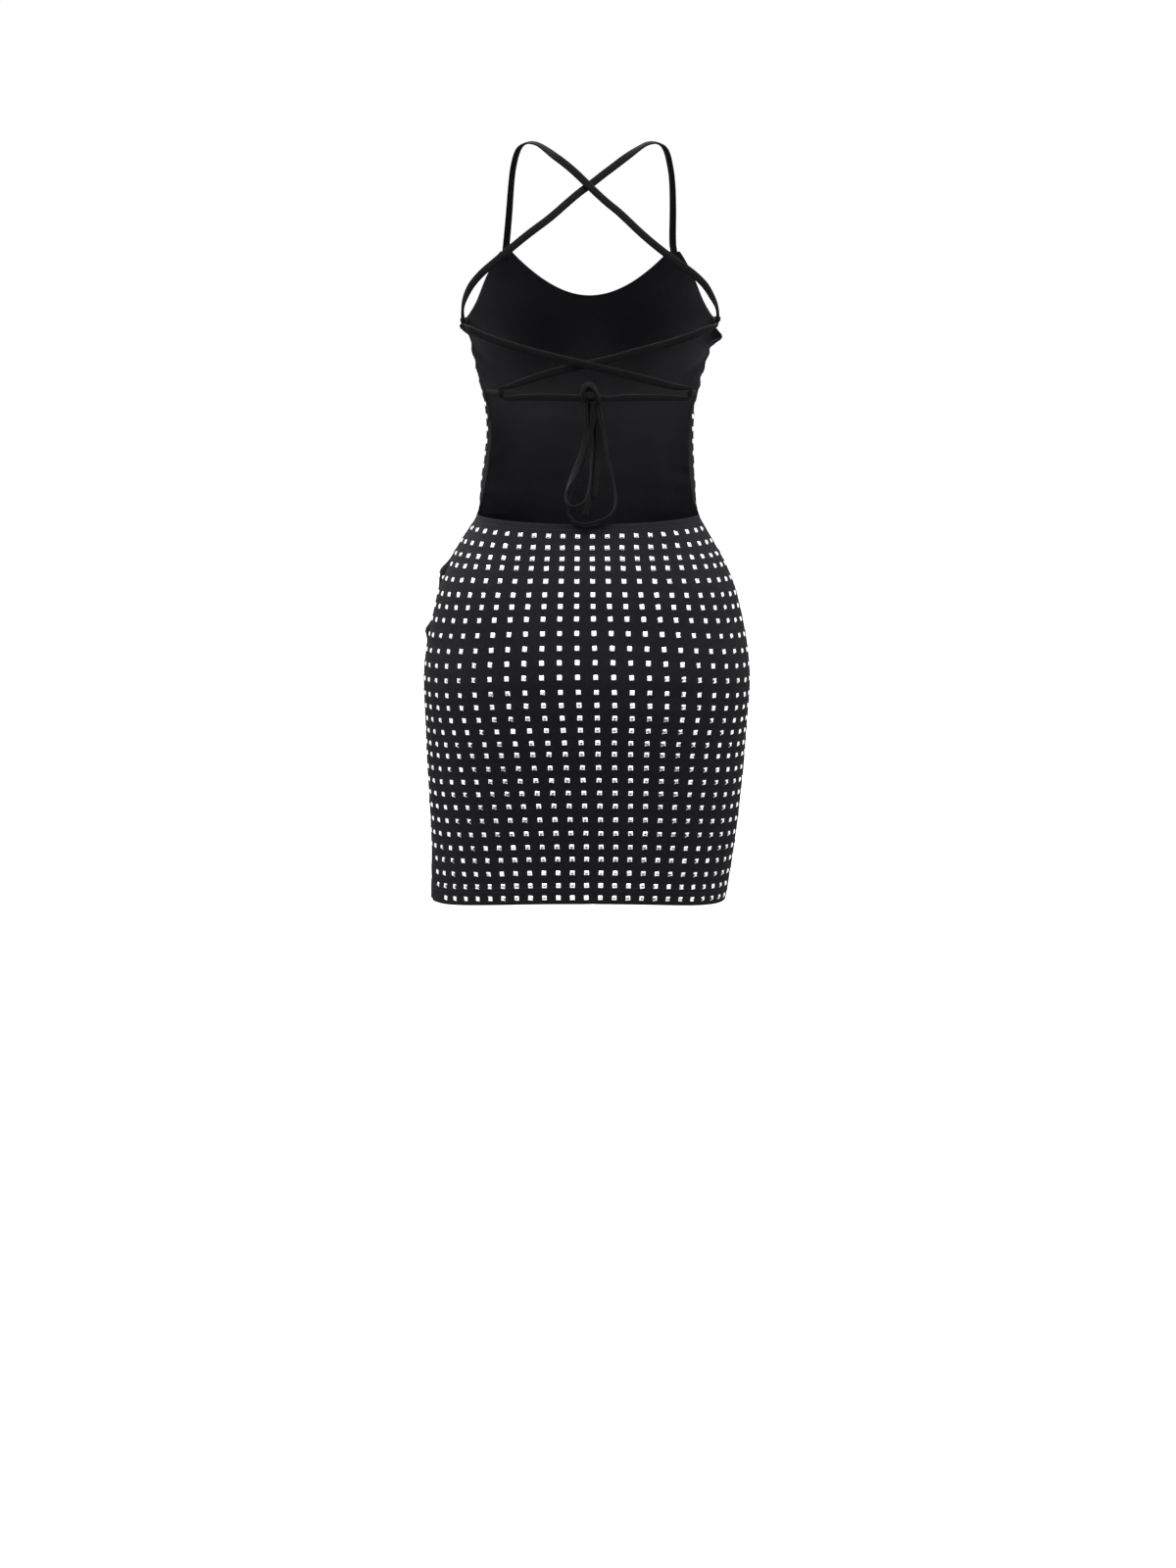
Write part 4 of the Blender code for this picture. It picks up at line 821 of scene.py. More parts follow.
def back_arcs(side, down, count=60):
    """Angles from the centre back seam to the side seam and the distances to them."""
    height = skirt_height(down)
    edge = SEAM_ANGLE
    if side > 0 and height < SLIT_HEIGHT:
        edge += SLIT_SPREAD * (SLIT_HEIGHT - height) / (SLIT_HEIGHT - HEM_HEIGHT)
    angles = np.linspace(straight(BACK_SEAM, height, "angle"), mirrored(side, edge), count)
    return angles, run_along(figure_point(angles, np.full(count, height)))


def back_surface(side, down, angle, along, total, cloth):
    """Outer face of one half of the skirt's back and where it is turned."""
    height = back_height(down, angle)
    top, hem, side_seam = down * SKIRT_LENGTH, (1.0 - down) * SKIRT_LENGTH, total - along
    slit = ease((SLIT_HEIGHT - height) / SLIT_FADE) if side > 0 else 0.0
    out = OUTER + crease_relief(BACK_CREASES, side * along, height, cloth.crease)
    out += drape_relief(side * along + 0.4, height)
    out += sewn_edge(top, along, cloth.turning, cloth)
    out += sewn_edge(hem, along * side + 0.07, cloth.hem, cloth)
    out += seam_relief(along, height, BACK_SEAM_DEPTH)
    out += (1.0 - slit) * seam_relief(side_seam, height, SIDE_SEAM_DEPTH)
    out += slit * edge_relief(side_seam, cloth.turning, cloth)
    turned = np.maximum(within(top, cloth.turning), within(hem, cloth.hem))
    turned = np.maximum(turned, slit * within(side_seam, cloth.turning))
    return off_figure(angle, height, out), turned


# ---------------------------------------------------------------- making objects
def grid_faces(rows, columns, closed=False):
    """Quads of a grid of points stored row by row, top to bottom."""
    row, col = np.meshgrid(
        np.arange(rows), np.arange(columns if closed else columns - 1), indexing="ij")
    right = (col + 1) % columns
    corners = (row * columns + col, (row + 1) * columns + col, (row + 1) * columns + right,
               row * columns + right)
    return np.stack(corners, -1).reshape(-1, 4)


def tube_faces(rings, sides):
    """Quads of a closed tube and its two end faces."""
    ends = [list(range(sides)), list(reversed(range((rings - 1) * sides, rings * sides)))]
    return grid_faces(rings - 1, sides, closed=True).tolist() + ends


def grid_places(rows, columns, across):
    """UV places in metres of a grid's points."""
    steps = np.arange(columns) * across, np.arange(rows) * KNIT_ALONG
    return np.stack(np.meshgrid(*steps), -1).reshape(-1, 2)


def dress_collection():
    found = bpy.data.collections.get("dress")
    if found is None:
        found = bpy.data.collections.new("dress")
        bpy.context.scene.collection.children.link(found)
    return found


def new_piece(name, points, faces, material, uv=None, rounded=True):
    """Mesh object with a material and, where given, a UV place in metres for each point."""
    mesh = bpy.data.meshes.new(name)
    mesh.from_pydata(np.asarray(points, float).tolist(), [], [list(map(int, f)) for f in faces])
    if rounded:
        mesh.shade_smooth()
    mesh.materials.append(material)
    if uv is not None:
        loops = np.zeros(len(mesh.loops), np.int32)
        mesh.loops.foreach_get("vertex_index", loops)
        layer = mesh.uv_layers.new(name="cloth")
        layer.data.foreach_set("uv", np.asarray(uv, np.float32)[loops].ravel())
    piece = bpy.data.objects.new(name, mesh)
    dress_collection().objects.link(piece)
    return piece


def cloth_panel(name, points, uv, turned, columns, material, cloth):
    """Thin shell of one panel, thicker where its edges are turned in."""
    piece = new_piece(name, points, grid_faces(len(points) // columns - 1, columns), material, uv)
    group = piece.vertex_groups.new(name="turned")
    turned = np.round(turned, 1)
    for level in np.unique(turned):
        if level > 0:
            group.add(np.flatnonzero(turned == level).tolist(), float(level), "REPLACE")
    shell = piece.modifiers.new("cloth", "SOLIDIFY")
    shell.thickness = cloth.turned
    shell.offset = -1.0
    shell.vertex_group = group.name
    shell.thickness_vertex_group = cloth.wall / cloth.turned
    return piece


def surface_tree(name):
    """Search tree of a finished piece's outer and inner faces."""
    return BVHTree.FromObject(bpy.data.objects[name], bpy.context.evaluated_depsgraph_get())


def drop_on(tree, angle, height):
    """Point and normal of the cloth at an angle and height, looking straight in."""
    normal = Vector(figure_normal(angle, height))
    start = Vector(figure_point(angle, height)) + normal * PROBE
    hit, facing, _, _ = tree.ray_cast(start, -normal, 2.0 * PROBE)
    if hit is None:
        raise RuntimeError("no cloth under a place that should lie on it")
    if facing.dot(normal) < 0:
        facing = -facing
    return np.array(hit), np.array(facing)


def hand_over(piece, node=None):
    """Hide the frame's node that a piece takes the place of, if given, and attach the piece to the
    root body.
    """
    if node is not None:
        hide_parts(node)
    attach(piece, "root")


# ---------------------------------------------------------------- shader node groups
def feed(tree, value, socket):
    """Give a socket a value, or link another node's result to it."""
    if isinstance(value, bpy.types.NodeSocket):
        tree.links.new(value, socket)
    else:
        socket.default_value = value


def math_node(tree, operation, *values):
    """Result of a maths node whose inputs are numbers or other nodes' results."""
    node = tree.nodes.new("ShaderNodeMath")
    node.operation = operation
    for slot, value in enumerate(values):
        feed(tree, value, node.inputs[slot])
    return node.outputs[0]


def add_node(tree, kind, **inputs):
    """Shader node whose named inputs are numbers or other nodes' results."""
    node = tree.nodes.new("ShaderNode" + kind)
    for name, value in inputs.items():
        feed(tree, value, node.inputs[name.replace("_", " ")])
    return node


def new_group(name, result, **values):
    """Node group with a place and numbers as inputs, and its input and output nodes."""
    group = bpy.data.node_groups.new(name, "ShaderNodeTree")
    group.interface.new_socket(name="Place", in_out="INPUT", socket_type="NodeSocketVector")
    for label, value in values.items():
        socket = group.interface.new_socket(
            name=label, in_out="INPUT", socket_type="NodeSocketFloat")
        socket.default_value = value
    for label in result.split():
        group.interface.new_socket(name=label, in_out="OUTPUT", socket_type="NodeSocketFloat")
    inside, outside = group.nodes.new("NodeGroupInput"), group.nodes.new("NodeGroupOutput")
    return group, inside.outputs, outside.inputs


def jersey_knit_group():
    """V-shaped stitches of a plain knit, from a place on the cloth in metres."""
    name = "Jersey Knit"
    if name in bpy.data.node_groups:
        return bpy.data.node_groups[name]
    group, given, result = new_group(name, "Height Gap", Wale=0.0009, Course=0.0007)
    maths = partial(math_node, group)
    split = add_node(group, "SeparateXYZ", Vector=given["Place"]).outputs
    across = maths("DIVIDE", split["X"], given["Wale"])
    leg = maths("ABSOLUTE", maths("SUBTRACT", maths("FRACT", across), 0.5))
    along = maths("DIVIDE", split["Y"], given["Course"])
    slanted = maths("MULTIPLY", maths("ADD", along, maths("MULTIPLY", leg, 1.6)), math.tau)
    bead = maths("ADD", maths("MULTIPLY", maths("SINE", slanted), 0.5), 0.5)
    ridge = maths("SINE", maths("MULTIPLY", leg, math.tau))
    height = maths("MULTIPLY", ridge, maths("ADD", maths("MULTIPLY", bead, 0.55), 0.45))
    feed(group, height, result["Height"])
    # Gap is 1 where the stitches dip; the knit materials use it to paint shade into their colour
    feed(group, maths("SUBTRACT", 1.0, height), result["Gap"])
    return group


def cloudiness_group():
    """Slow uneven shade with fine grain over it, for dye, wear and fingerprints."""
    name = "Cloudiness"
    if name in bpy.data.node_groups:
        return bpy.data.node_groups[name]
    group, given, result = new_group(name, "Value", Broad=14.0, Fine=260.0, Low=0.85, High=1.15)
    maths = partial(math_node, group)
    broad, fine = (
        add_node(group, "TexNoise", Vector=given["Place"], Scale=given[scale], Detail=detail)
        for scale, detail in (("Broad", 3.0), ("Fine", 2.0)))
    mixed = maths("ADD", maths("MULTIPLY", broad.outputs[0], 0.65),
                  maths("MULTIPLY", fine.outputs[0], 0.35))
    remap = add_node(group, "MapRange", Value=mixed, From_Min=0.3, From_Max=0.7,
                     To_Min=given["Low"], To_Max=given["High"])
    feed(group, remap.outputs[0], result["Value"])
    return group


# ---------------------------------------------------------------- materials
def base_material(name, **values):
    """Material, its node tree and its Principled shader with its constants."""
    material = bpy.data.materials.new(name)
    material.use_nodes = True
    tree = material.node_tree
    shader = tree.nodes["Principled BSDF"]
    for label, value in values.items():
        shader.inputs[label.replace("_", " ")].default_value = value
    return material, tree, shader


def group_node(tree, group, **inputs):
    """Node of a node group, with its inputs given."""
    node = tree.nodes.new("ShaderNodeGroup")
    node.node_tree = group
    for name, value in inputs.items():
        feed(tree, value, node.inputs[name])
    return node.outputs


def tinted(tree, value, colour, shader):
    """Base colour of a shader: a colour made lighter and darker by a value."""
    scale = tree.nodes.new("ShaderNodeVectorMath")
    scale.operation = "SCALE"
    feed(tree, colour, scale.inputs[0])
    feed(tree, value, scale.inputs["Scale"])
    feed(tree, scale.outputs[0], shader.inputs["Base Color"])


def roughened(tree, value, middle, spread, shader):
    """Roughness that follows a value lying about 1."""
    wide = math_node(tree, "MULTIPLY", math_node(tree, "SUBTRACT", value, 1.0), spread)
    feed(tree, math_node(tree, "ADD", wide, middle), shader.inputs["Roughness"])


def bumped(tree, height, strength, distance, node):
    """Bump of a height on another node's normal."""
    bump = add_node(tree, "Bump", Height=height, Strength=strength, Distance=distance)
    feed(tree, bump.outputs[0], node.inputs["Normal"])
    return bump


def stretched_noise(tree, place, scale, rotation=(0.0, 0.0, 0.0), detail=2.0):
    """Noise drawn out in one direction, for fine creases and scratches."""
    mapping = add_node(tree, "Mapping", Vector=place, Rotation=rotation, Scale=scale)
    noise = add_node(tree, "TexNoise", Vector=mapping.outputs[0], Scale=1.0, Detail=detail)
    return noise.outputs[0]


def knit_material(name, colour, wale, course, depth, sheen, pleated=False):
    """Matte stretch jersey with its stitches, fluff, uneven dye and painted shade in the gaps
    between its stitches.
    """
    material, tree, shader = base_material(
        name, Roughness=0.9, Specular_IOR_Level=0.06, Sheen_Weight=sheen, Sheen_Roughness=0.55,
        Sheen_Tint=(0.75, 0.76, 0.82, 1.0))
    maths = partial(math_node, tree)
    uv_map = add_node(tree, "UVMap")
    uv_map.uv_map = "cloth"
    place = uv_map.outputs[0]
    knit = group_node(tree, jersey_knit_group(), Place=place, Wale=wale, Course=course)
    cloud = group_node(
        tree, cloudiness_group(), Place=place, Broad=16.0, Fine=900.0, Low=0.80, High=1.20)[0]
    # painted shade: the base colour is darker in the gaps between the knit's stitches
    shade = maths("SUBTRACT", 1.24, maths("MULTIPLY", knit["Gap"], 0.55))
    tinted(tree, maths("MULTIPLY", shade, cloud), colour, shader)
    roughened(tree, cloud, 0.88, 0.12, shader)
    fluff = add_node(tree, "TexNoise", Vector=place, Scale=1400.0).outputs[0]
    level = maths("ADD", knit["Height"], maths("MULTIPLY", fluff, 0.5))
    bump = bumped(tree, level, 0.8, depth, shader)
    if pleated:
        creases = stretched_noise(tree, place, (700.0, 60.0, 1.0), detail=3.0)
        bumped(tree, creases, 0.5, 0.0004, bump)
    return material


def stud_material(colour):
    """Bright plated metal with faint clouds and hairline scratches."""
    material, tree, shader = base_material("stud_metal", Roughness=0.11, Metallic=1.0)
    place = add_node(tree, "TexCoord").outputs["Object"]
    cloud = group_node(
        tree, cloudiness_group(), Place=place, Broad=90.0, Fine=1500.0, Low=0.94, High=1.04)[0]
    tinted(tree, cloud, colour, shader)
    roughened(tree, cloud, 0.11, 0.5, shader)
    scratches = stretched_noise(tree, place, (4000.0, 300.0, 900.0), (0.3, 0.5, 0.7))
    bumped(tree, scratches, 0.15, 0.00004, shader)
    return material


def thread_material(colour):
    """Twisted polyester thread, a little brighter than the cloth."""
    material, tree, shader = base_material("black_thread", Roughness=0.55)
    place = add_node(tree, "TexCoord").outputs["Object"]
    cloud = group_node(
        tree, cloudiness_group(), Place=place, Broad=60.0, Fine=2000.0, Low=0.8, High=1.25)[0]
    tinted(tree, cloud, colour, shader)
    twist = add_node(tree, "TexWave", Vector=place, Scale=900.0, Distortion=1.5)
    bumped(tree, twist.outputs[1], 0.4, 0.00008, shader)
    return material


def kept_knit(name, *values):
    """Knit that several pieces share, made once."""
    return bpy.data.materials.get(name) or knit_material(name, *values)


def panel_material(context):
    cloth = context.scene.dress_cloth
    return kept_knit(
        "black_jersey", cloth.colour, cloth.wale, 0.8 * cloth.wale, 0.00045, 0.05)


def strap_material(context):
    """Jersey sewn into a narrow tube: finer stitches and creases along it."""
    colour = context.scene.dress_lace.colour
    return kept_knit("black_lace", colour, 0.0007, 0.0006, 0.00020, 0.12, True)


# ---------------------------------------------------------------- laces
def smooth_route(rows, step):
    """Rows of equal length, joined by a smooth curve and sampled along it."""
    rows = np.array(rows, float)
    samples = []
    for i in range(len(rows) - 1):
        a, b = rows[max(i - 1, 0)], rows[i]
        c, d = rows[i + 1], rows[min(i + 2, len(rows) - 1)]
        count = max(1, round(float(np.linalg.norm(c[:3] - b[:3])) / step))
        for t in np.arange(count) / count:
            samples.append(0.5 * (2 * b + (c - a) * t + (2 * a - 5 * b + 4 * c - d) * t * t
                                  + (3 * b - a - 3 * c + d) * t ** 3))
    samples.append(rows[-1])
    return np.array(samples)


def lace_shape(rows, lace):
    """Flat sewn tube along rows of place, facing, width, thickness and bunching."""
    samples = smooth_route(rows, lace.step)
    places = samples[:, :3]
    tangents = unit(np.concatenate((places[1:], places[-1:]))
                    - np.concatenate((places[:1], places[:-1])))
    facing = samples[:, 3:6]
    facing = unit(facing - tangents * (facing * tangents).sum(1, keepdims=True))
    across = np.cross(tangents, facing)
    run = run_along(places)
    width, thick, bunched = (samples[:, k][:, None] for k in (6, 7, 8))
    turn = math.tau * np.arange(lace.sides) / lace.sides
    wide = squared(np.cos(turn), LACE_SQUARE[0])[None, :]
    deep = squared(np.sin(turn), LACE_SQUARE[1])[None, :]
    slow, fast, fold, drift = 0.0091, 0.0037, 0.006, 0.0125
    uneven = 1.0 + 0.05 * np.sin(run / slow + 1.3)[:, None] + 0.03 * np.sin(run / fast)[:, None]
    sew_line = -SEW_DEPTH * bell((wide - SEW_PLACE) / SEW_HALF) * (deep > 0)
    wander = 0.8 * np.sin(run / fold)[:, None]
    pleats = PLEAT_DEPTH * bunched * np.cos(2.4 * math.pi * wide + wander)
    level = 0.5 * thick * deep * uneven + sew_line + pleats * (deep > 0)
    slip = LACE_SLIP * np.sin(run / drift + 0.6)[:, None]
    points = (
        places[:, None, :]
        + across[:, None, :] * (0.5 * width * wide + slip)[..., None]
        + facing[:, None, :] * level[..., None]
    ).reshape(-1, 3)
    round_run = np.cumsum(np.r_[0.0, np.hypot(np.diff(wide[0]) * 0.5 * LACE_WIDTH,
                                              np.diff(deep[0]) * 0.5 * LACE_THICK)])
    uv = np.stack(np.broadcast_arrays(round_run[None, :], run[:, None]), -1).reshape(-1, 2)
    return points, tube_faces(len(samples), lace.sides), uv, places


def lace_piece(name, rows, material, lace):
    """Piece of lace along its rows, and the points it follows."""
    points, faces, uv, places = lace_shape(rows, lace)
    return new_piece(name, points, faces, material, uv), places


def knot_piece(name, material, lace):
    """Knot as one mesh: its core and the turns of lace over it."""
    core, rings, sides = knot_core()
    faces = tube_faces(rings, sides)
    points, uvs = [core.reshape(-1, 3)], [grid_places(rings, sides, KNIT_ACROSS)]
    for turns in KNOT_TURNS:
        more, more_faces, more_uv, _ = lace_shape(knot_turn_rows(turns), lace)
        start = sum(map(len, points))
        faces += [[start + i for i in face] for face in more_faces]
        points.append(more)
        uvs.append(more_uv)
    return new_piece(name, np.concatenate(points), faces, material, np.concatenate(uvs))


def lace_section(bunched, share=1.0):
    width = LACE_WIDTH + (LACE_BUNCHED - LACE_WIDTH) * bunched
    thick = LACE_THICK + (LACE_BUNCHED - LACE_THICK) * bunched
    return width * share, thick, bunched


def knot_end(side):
    """Last point of a strap, where it slips into the side of the knot."""
    x = KNOT_CENTRE_X + side * (KNOT_HALF_WIDTH - 0.002)
    return angle_at(x, STRAP_END_HEIGHT), STRAP_END_HEIGHT, STRAP_END_OUT, STRAP_END_BUNCHED


def strap_rows(side, back_route):
    """Whole strap: sewn behind the front's corner, over the shoulder, to the knot."""
    flat = lace_section(0.0)
    reach = front_reach(side, CORNER_HEIGHT)
    angle = mirrored(side, -90.0 + (90.0 + reach) * 0.5 * sum(CORNER_SHARES))
    normal = figure_normal(angle, CORNER_HEIGHT)
    climb = unit(np.array((0.0, 0.0, 1.0)) - normal * normal[2])
    corner = off_figure(angle, CORNER_HEIGHT, 0.5 * LACE_THICK)
    tuck, sink = STRAP_TUCK
    rows = [(*(corner + climb * tuck + normal * sink), *normal, *flat)]
    rows += [(*(corner + climb * up), *normal, *flat) for up in (STRAP_GAP, STRAP_STRAIGHT)]
    centre = np.array((SHOULDER_SHIFT + side * SHOULDER_CENTRE[0], *SHOULDER_CENTRE[1:]))
    for x, y, z in SHOULDER:
        place = np.array((SHOULDER_SHIFT + side * x, y, z))
        rows.append((*place, *unit(place - centre), *flat))
    for angle, height, out, bunched in (*back_route, knot_end(side)):
        place = off_figure(angle, height, out)
        rows.append((*place, *figure_normal(angle, height), *lace_section(bunched)))
    return rows


def bow_rows(route):
    """Rows of one free strand of the bow."""
    rows = []
    for i, (x, height, out, share, turn) in enumerate(route):
        angle = angle_at(x, height)
        normal = figure_normal(angle, height)
        before, after = route[max(i - 1, 0)], route[min(i + 1, len(route) - 1)]
        along = unit(np.array((after.x - before.x, 0.0, after.height - before.height)))
        across = unit(np.cross(along, normal))
        spin = math.radians(turn)
        facing = normal * math.cos(spin) + across * math.sin(spin)
        width, thick, _ = lace_section(0.0, share)
        rows.append((*off_figure(angle, height, out), *facing, width, thick, 0.5 * (1.0 - share)))
    return rows


def knot_section(share, name):
    return np.interp(share, column(KNOT_ROWS, "share"), column(KNOT_ROWS, name))


def knot_place(x, y, share):
    """World place of a point of the knot: sideways, outwards and down its height."""
    height = KNOT_TOP + (KNOT_BOTTOM - KNOT_TOP) * share
    back_y = figure_point(90.0, height)[..., 1]
    return np.stack((KNOT_CENTRE_X + x, back_y + KNOT_CENTRE_OUT + y, height), -1)


def knot_core(rings=25, sides=48):
    """Points of the knot's core: a leaning lump with a hollow where the bow hangs out."""
    turn = math.tau * np.arange(sides) / sides
    cos, sin = squared(np.cos(turn), KNOT_SQUARE), squared(np.sin(turn), KNOT_SQUARE)
    points = []
    for share in np.linspace(0.0, 1.0, rings):
        wide, deep = knot_section(share, "half_width"), knot_section(share, "half_depth")
        x = knot_section(share, "shift") + wide * cos
        hollow = KNOT_HOLLOW * bell(x / KNOT_HOLLOW) * ease((share - 0.72) / 0.22)
        points.append(knot_place(x, deep * sin - hollow * (sin > 0), np.full(sides, share)))
    return np.array(points), rings, sides


def knot_front(x, share):
    """How far the core's outer face stands out at a place."""
    aside = np.abs(x - knot_section(share, "shift")) / knot_section(share, "half_width")
    left = 1.0 - np.clip(aside, 0, 0.97) ** (2 / KNOT_SQUARE)
    return knot_section(share, "half_depth") * left ** (0.5 * KNOT_SQUARE)


def knot_turn_rows(turns):
    """Rows of one turn of lace lying on the knot's core, facing out from it."""
    rows = []
    for x, share, lift, width in turns:
        y = knot_front(x, share)
        aside = x - knot_section(share, "shift")
        below = -0.5 * (share - 0.75) * (KNOT_TOP - KNOT_BOTTOM)
        facing = unit(np.array((0.9 * aside, y + 0.0035, 0.8 * below)))
        place = knot_place(np.array(x), np.array(y), np.array(share)) + facing * lift
        full, thick, _ = lace_section(0.0)
        rows.append((*place, *facing, full * width, thick, KNOT_BUNCHED))
    return rows


def loop_shape(side, strap_angle, height):
    """Points of one fabric loop: a band round the strap, pinched to its sewn end."""
    rows = 7
    points = []
    for part in np.arange(rows) / (rows - 1):
        level = height + LOOP_TALL * (0.5 - part)
        barrel = LOOP_BARREL * math.sin(math.pi * part)
        edge_angle = mirrored(side, float(front_reach(side, level)))
        sewn = off_figure(edge_angle, level, LOOP_SEWN_OUT)
        held = off_figure(strap_angle, level, LOOP_OUT)
        along = unit(held - sewn)
        out = figure_normal(0.5 * (edge_angle + strap_angle), level)
        out = unit(out - along * np.dot(out, along))
        nose = sewn + along * (LOOP_GAP + NOSE_ARC.radius + 0.5 * LOOP_WALL)
        for centre, arc in ((held, LOOP_ARC), (nose, NOSE_ARC)):
            for turn in np.radians(np.linspace(arc.first, arc.last, arc.points)):
                reach = along * math.cos(turn) + out * math.sin(turn)
                points.append(centre + reach * (arc.radius + barrel))
    return np.array(points), rows


# ---------------------------------------------------------------- studs and stitches


def stud_template(width, rise):
    """Low square pyramid with a flat, slightly dished top, and its faces."""
    long, short = 1.0, STUD_CORNER
    outline = ((long, -short), (long, short), (short, long), (-short, long),
               (-long, short), (-long, -short), (-short, -long), (short, -long))
    sides, rings = len(outline), len(STUD_RINGS)
    points = [(0.5 * width * ring.half * x, 0.5 * width * ring.half * y, rise * ring.height)
              for ring in STUD_RINGS for x, y in outline]
    points.append((0.0, 0.0, STUD_DISH * rise))
    faces = grid_faces(rings - 1, sides, closed=True)[:, (0, 3, 2, 1)].tolist()
    last, top = (rings - 1) * sides, rings * sides
    faces += [[last + k, last + (k + 1) % sides, top] for k in range(sides)]
    return np.array(points), faces


def stitch_template(length):
    """Short raised thread that dips into the cloth at both ends."""
    points = []
    for ring in STITCH_RINGS:
        for k in range(STITCH_SIDES):
            turn, half = math.tau * k / STITCH_SIDES, STITCH_HALF * ring.size
            points.append((ring.along * length, half * math.cos(turn),
                           half * math.sin(turn) + ring.lift * STITCH_LIFT))
    faces = grid_faces(len(STITCH_RINGS) - 1, STITCH_SIDES, closed=True)[:, (1, 2, 3, 0)]
    return np.array(points), faces.tolist()


def scatter(name, template, places, material):
    """One mesh of many small things, each at a place with its own three directions."""
    points, faces = template
    everything, all_faces = [], []
    for number, (place, right, up, normal, size) in enumerate(places):
        everything.append(place + (points[:, :1] * right + points[:, 1:2] * up
                                   + points[:, 2:] * normal) * size)
        all_faces += [[i + number * len(points) for i in face] for face in faces]
    return new_piece(name, np.concatenate(everything), all_faces, material, rounded=False)


def stud_frames(tree, spots, studs, random):
    """Frames for studs at angles and heights, standing on the cloth below them."""
    frames = []
    for angle, height in spots:
        place, normal = drop_on(tree, angle, height)
        around = figure_round(angle, height)
        right = unit(around - normal * np.dot(around, normal))
        spin = random.uniform(-studs.sway, studs.sway)
        up = np.cross(normal, right)
        turned = right * math.cos(spin) + up * math.sin(spin)
        tilt = (normal + right * random.uniform(-STUD_TILT, STUD_TILT)
                + up * random.uniform(-STUD_TILT, STUD_TILT))
        tilt = unit(tilt)
        turned = unit(turned - tilt * np.dot(turned, tilt))
        frames.append((place, turned, np.cross(tilt, turned), tilt, random.uniform(*STUD_SIZES)))
    return frames


def columns_of_studs(arcs, pitch, margin):
    """Distances of one row's studs from the middle of the cloth."""
    places = (np.arange(40) + 0.5) * pitch
    return places[places < arcs[-1] - margin]


def side_margin(side, height, studs):
    """Bare cloth at a side edge: more of it beside the slit."""
    return studs.slit if side > 0 and height < SLIT_HEIGHT + SLIT_CLEAR else studs.seam


def back_stud_spots(side, studs):
    """Angles and heights of the studs on one half of the skirt's back."""
    spots = []
    for row in STUD_ROWS:
        angles, arcs = back_arcs(side, row.down)
        margin = side_margin(side, skirt_height(row.down), studs)
        for along in columns_of_studs(arcs, row.pitch, margin):
            angle = float(np.interp(along, arcs, angles))
            spots.append((angle, float(back_height(row.down, angle))))
    return spots


def front_stud_spots(side, studs):
    """Angles and heights of the studs on one side of the front."""
    rows = [(skirt_height(row.down), row.pitch) for row in STUD_ROWS]
    for height in np.arange(rows[0][0] + BODICE_ROW_PITCH, CORNER_HEIGHT, BODICE_ROW_PITCH):
        rows.append((height, float(smooth(BODICE_PITCH, height, "pitch"))))
    spots = []
    for height, pitch in rows:
        shares, arcs = front_arcs(side, height)
        for along in columns_of_studs(arcs, pitch, side_margin(side, height, studs)):
            share = float(np.interp(along, arcs, shares))
            if front_edge_distance(share, height) >= studs.margin:
                spots.append(front_spot(side, share, height))
    return spots


def front_spot(side, share, height):
    """Angle and height of a place on one side of the front."""
    return mirrored(side, float(front_angle(side, share, np.array(height))[0])), height


def stitch_line(tree, route, lace):
    """Frames for stitches along a route of angles and heights."""
    route = np.array(route, float)
    run = run_along(figure_point(route[:, 0], route[:, 1]))
    frames = []
    pitch = STITCH_PITCH * lace.stitch
    for distance in np.arange(0.5 * pitch, run[-1] - 0.4 * pitch, pitch):
        angle, height = (float(np.interp(distance, run, route[:, k])) for k in (0, 1))
        further = min(distance + STITCH_AHEAD, run[-1])
        ahead = figure_point(*(float(np.interp(further, run, route[:, k])) for k in (0, 1)))
        step = ahead - figure_point(angle, height)
        if np.linalg.norm(step) < 1e-6:
            continue
        place, normal = drop_on(tree, angle, height)
        along = unit(step)
        along = unit(along - normal * np.dot(along, normal))
        frames.append((place, along, np.cross(normal, along), normal, 1.0))
    return frames


def back_stitch_routes(side, cloth):
    """Hem's two rows, the top edge's row and, at the slit, its own."""
    wanted = LINE_SHARE * cloth.turning
    routes = []
    for down in (*(1.0 - share * cloth.hem / SKIRT_LENGTH for share in HEM_LINES),
                 wanted / SKIRT_LENGTH):
        angles, arcs = back_arcs(side, down)
        inside = np.linspace(0.002, arcs[-1] - 0.002, 60)
        chosen = np.interp(inside, arcs, angles)
        routes.append([(a, float(back_height(down, a))) for a in chosen])
    if side > 0:
        route = []
        for level in np.linspace(SLIT_HEIGHT - 0.001, HEM_HEIGHT + cloth.hem, 12):
            down = (WAIST_HEIGHT - level) / SKIRT_LENGTH
            angles, arcs = back_arcs(side, down)
            angle = float(np.interp(arcs[-1] - wanted, arcs, angles))
            route.append((angle, float(back_height(down, angle))))
        routes.append(route)
    return routes


def front_stitch_routes(side, cloth):
    """Hem's two rows, neckline, armhole and the side edge."""
    first, last, wanted = 0.004, 0.99, LINE_SHARE * cloth.turning
    routes = [[front_spot(side, share, HEM_HEIGHT + line * cloth.hem)
               for share in np.linspace(first, last, 60)] for line in HEM_LINES]
    inner, outer = CORNER_SHARES
    for start, end in ((first, inner), (outer, last)):
        route = []
        for share in np.linspace(start, end, 50):
            levels = front_top(share) - np.linspace(0.0, 0.03, 61)
            gaps = front_edge_distance(np.full(61, share), levels)
            if gaps.max() >= wanted:
                route.append(front_spot(side, share, float(levels[np.argmax(gaps >= wanted)])))
        routes.append(route)
    routes.append([front_spot(side, 1.0 - wanted / HALF_FRONT, height)
                   for height in np.linspace(ARM_HEIGHT - 0.012, WAIST_HEIGHT + 0.006, 60)])
    return routes


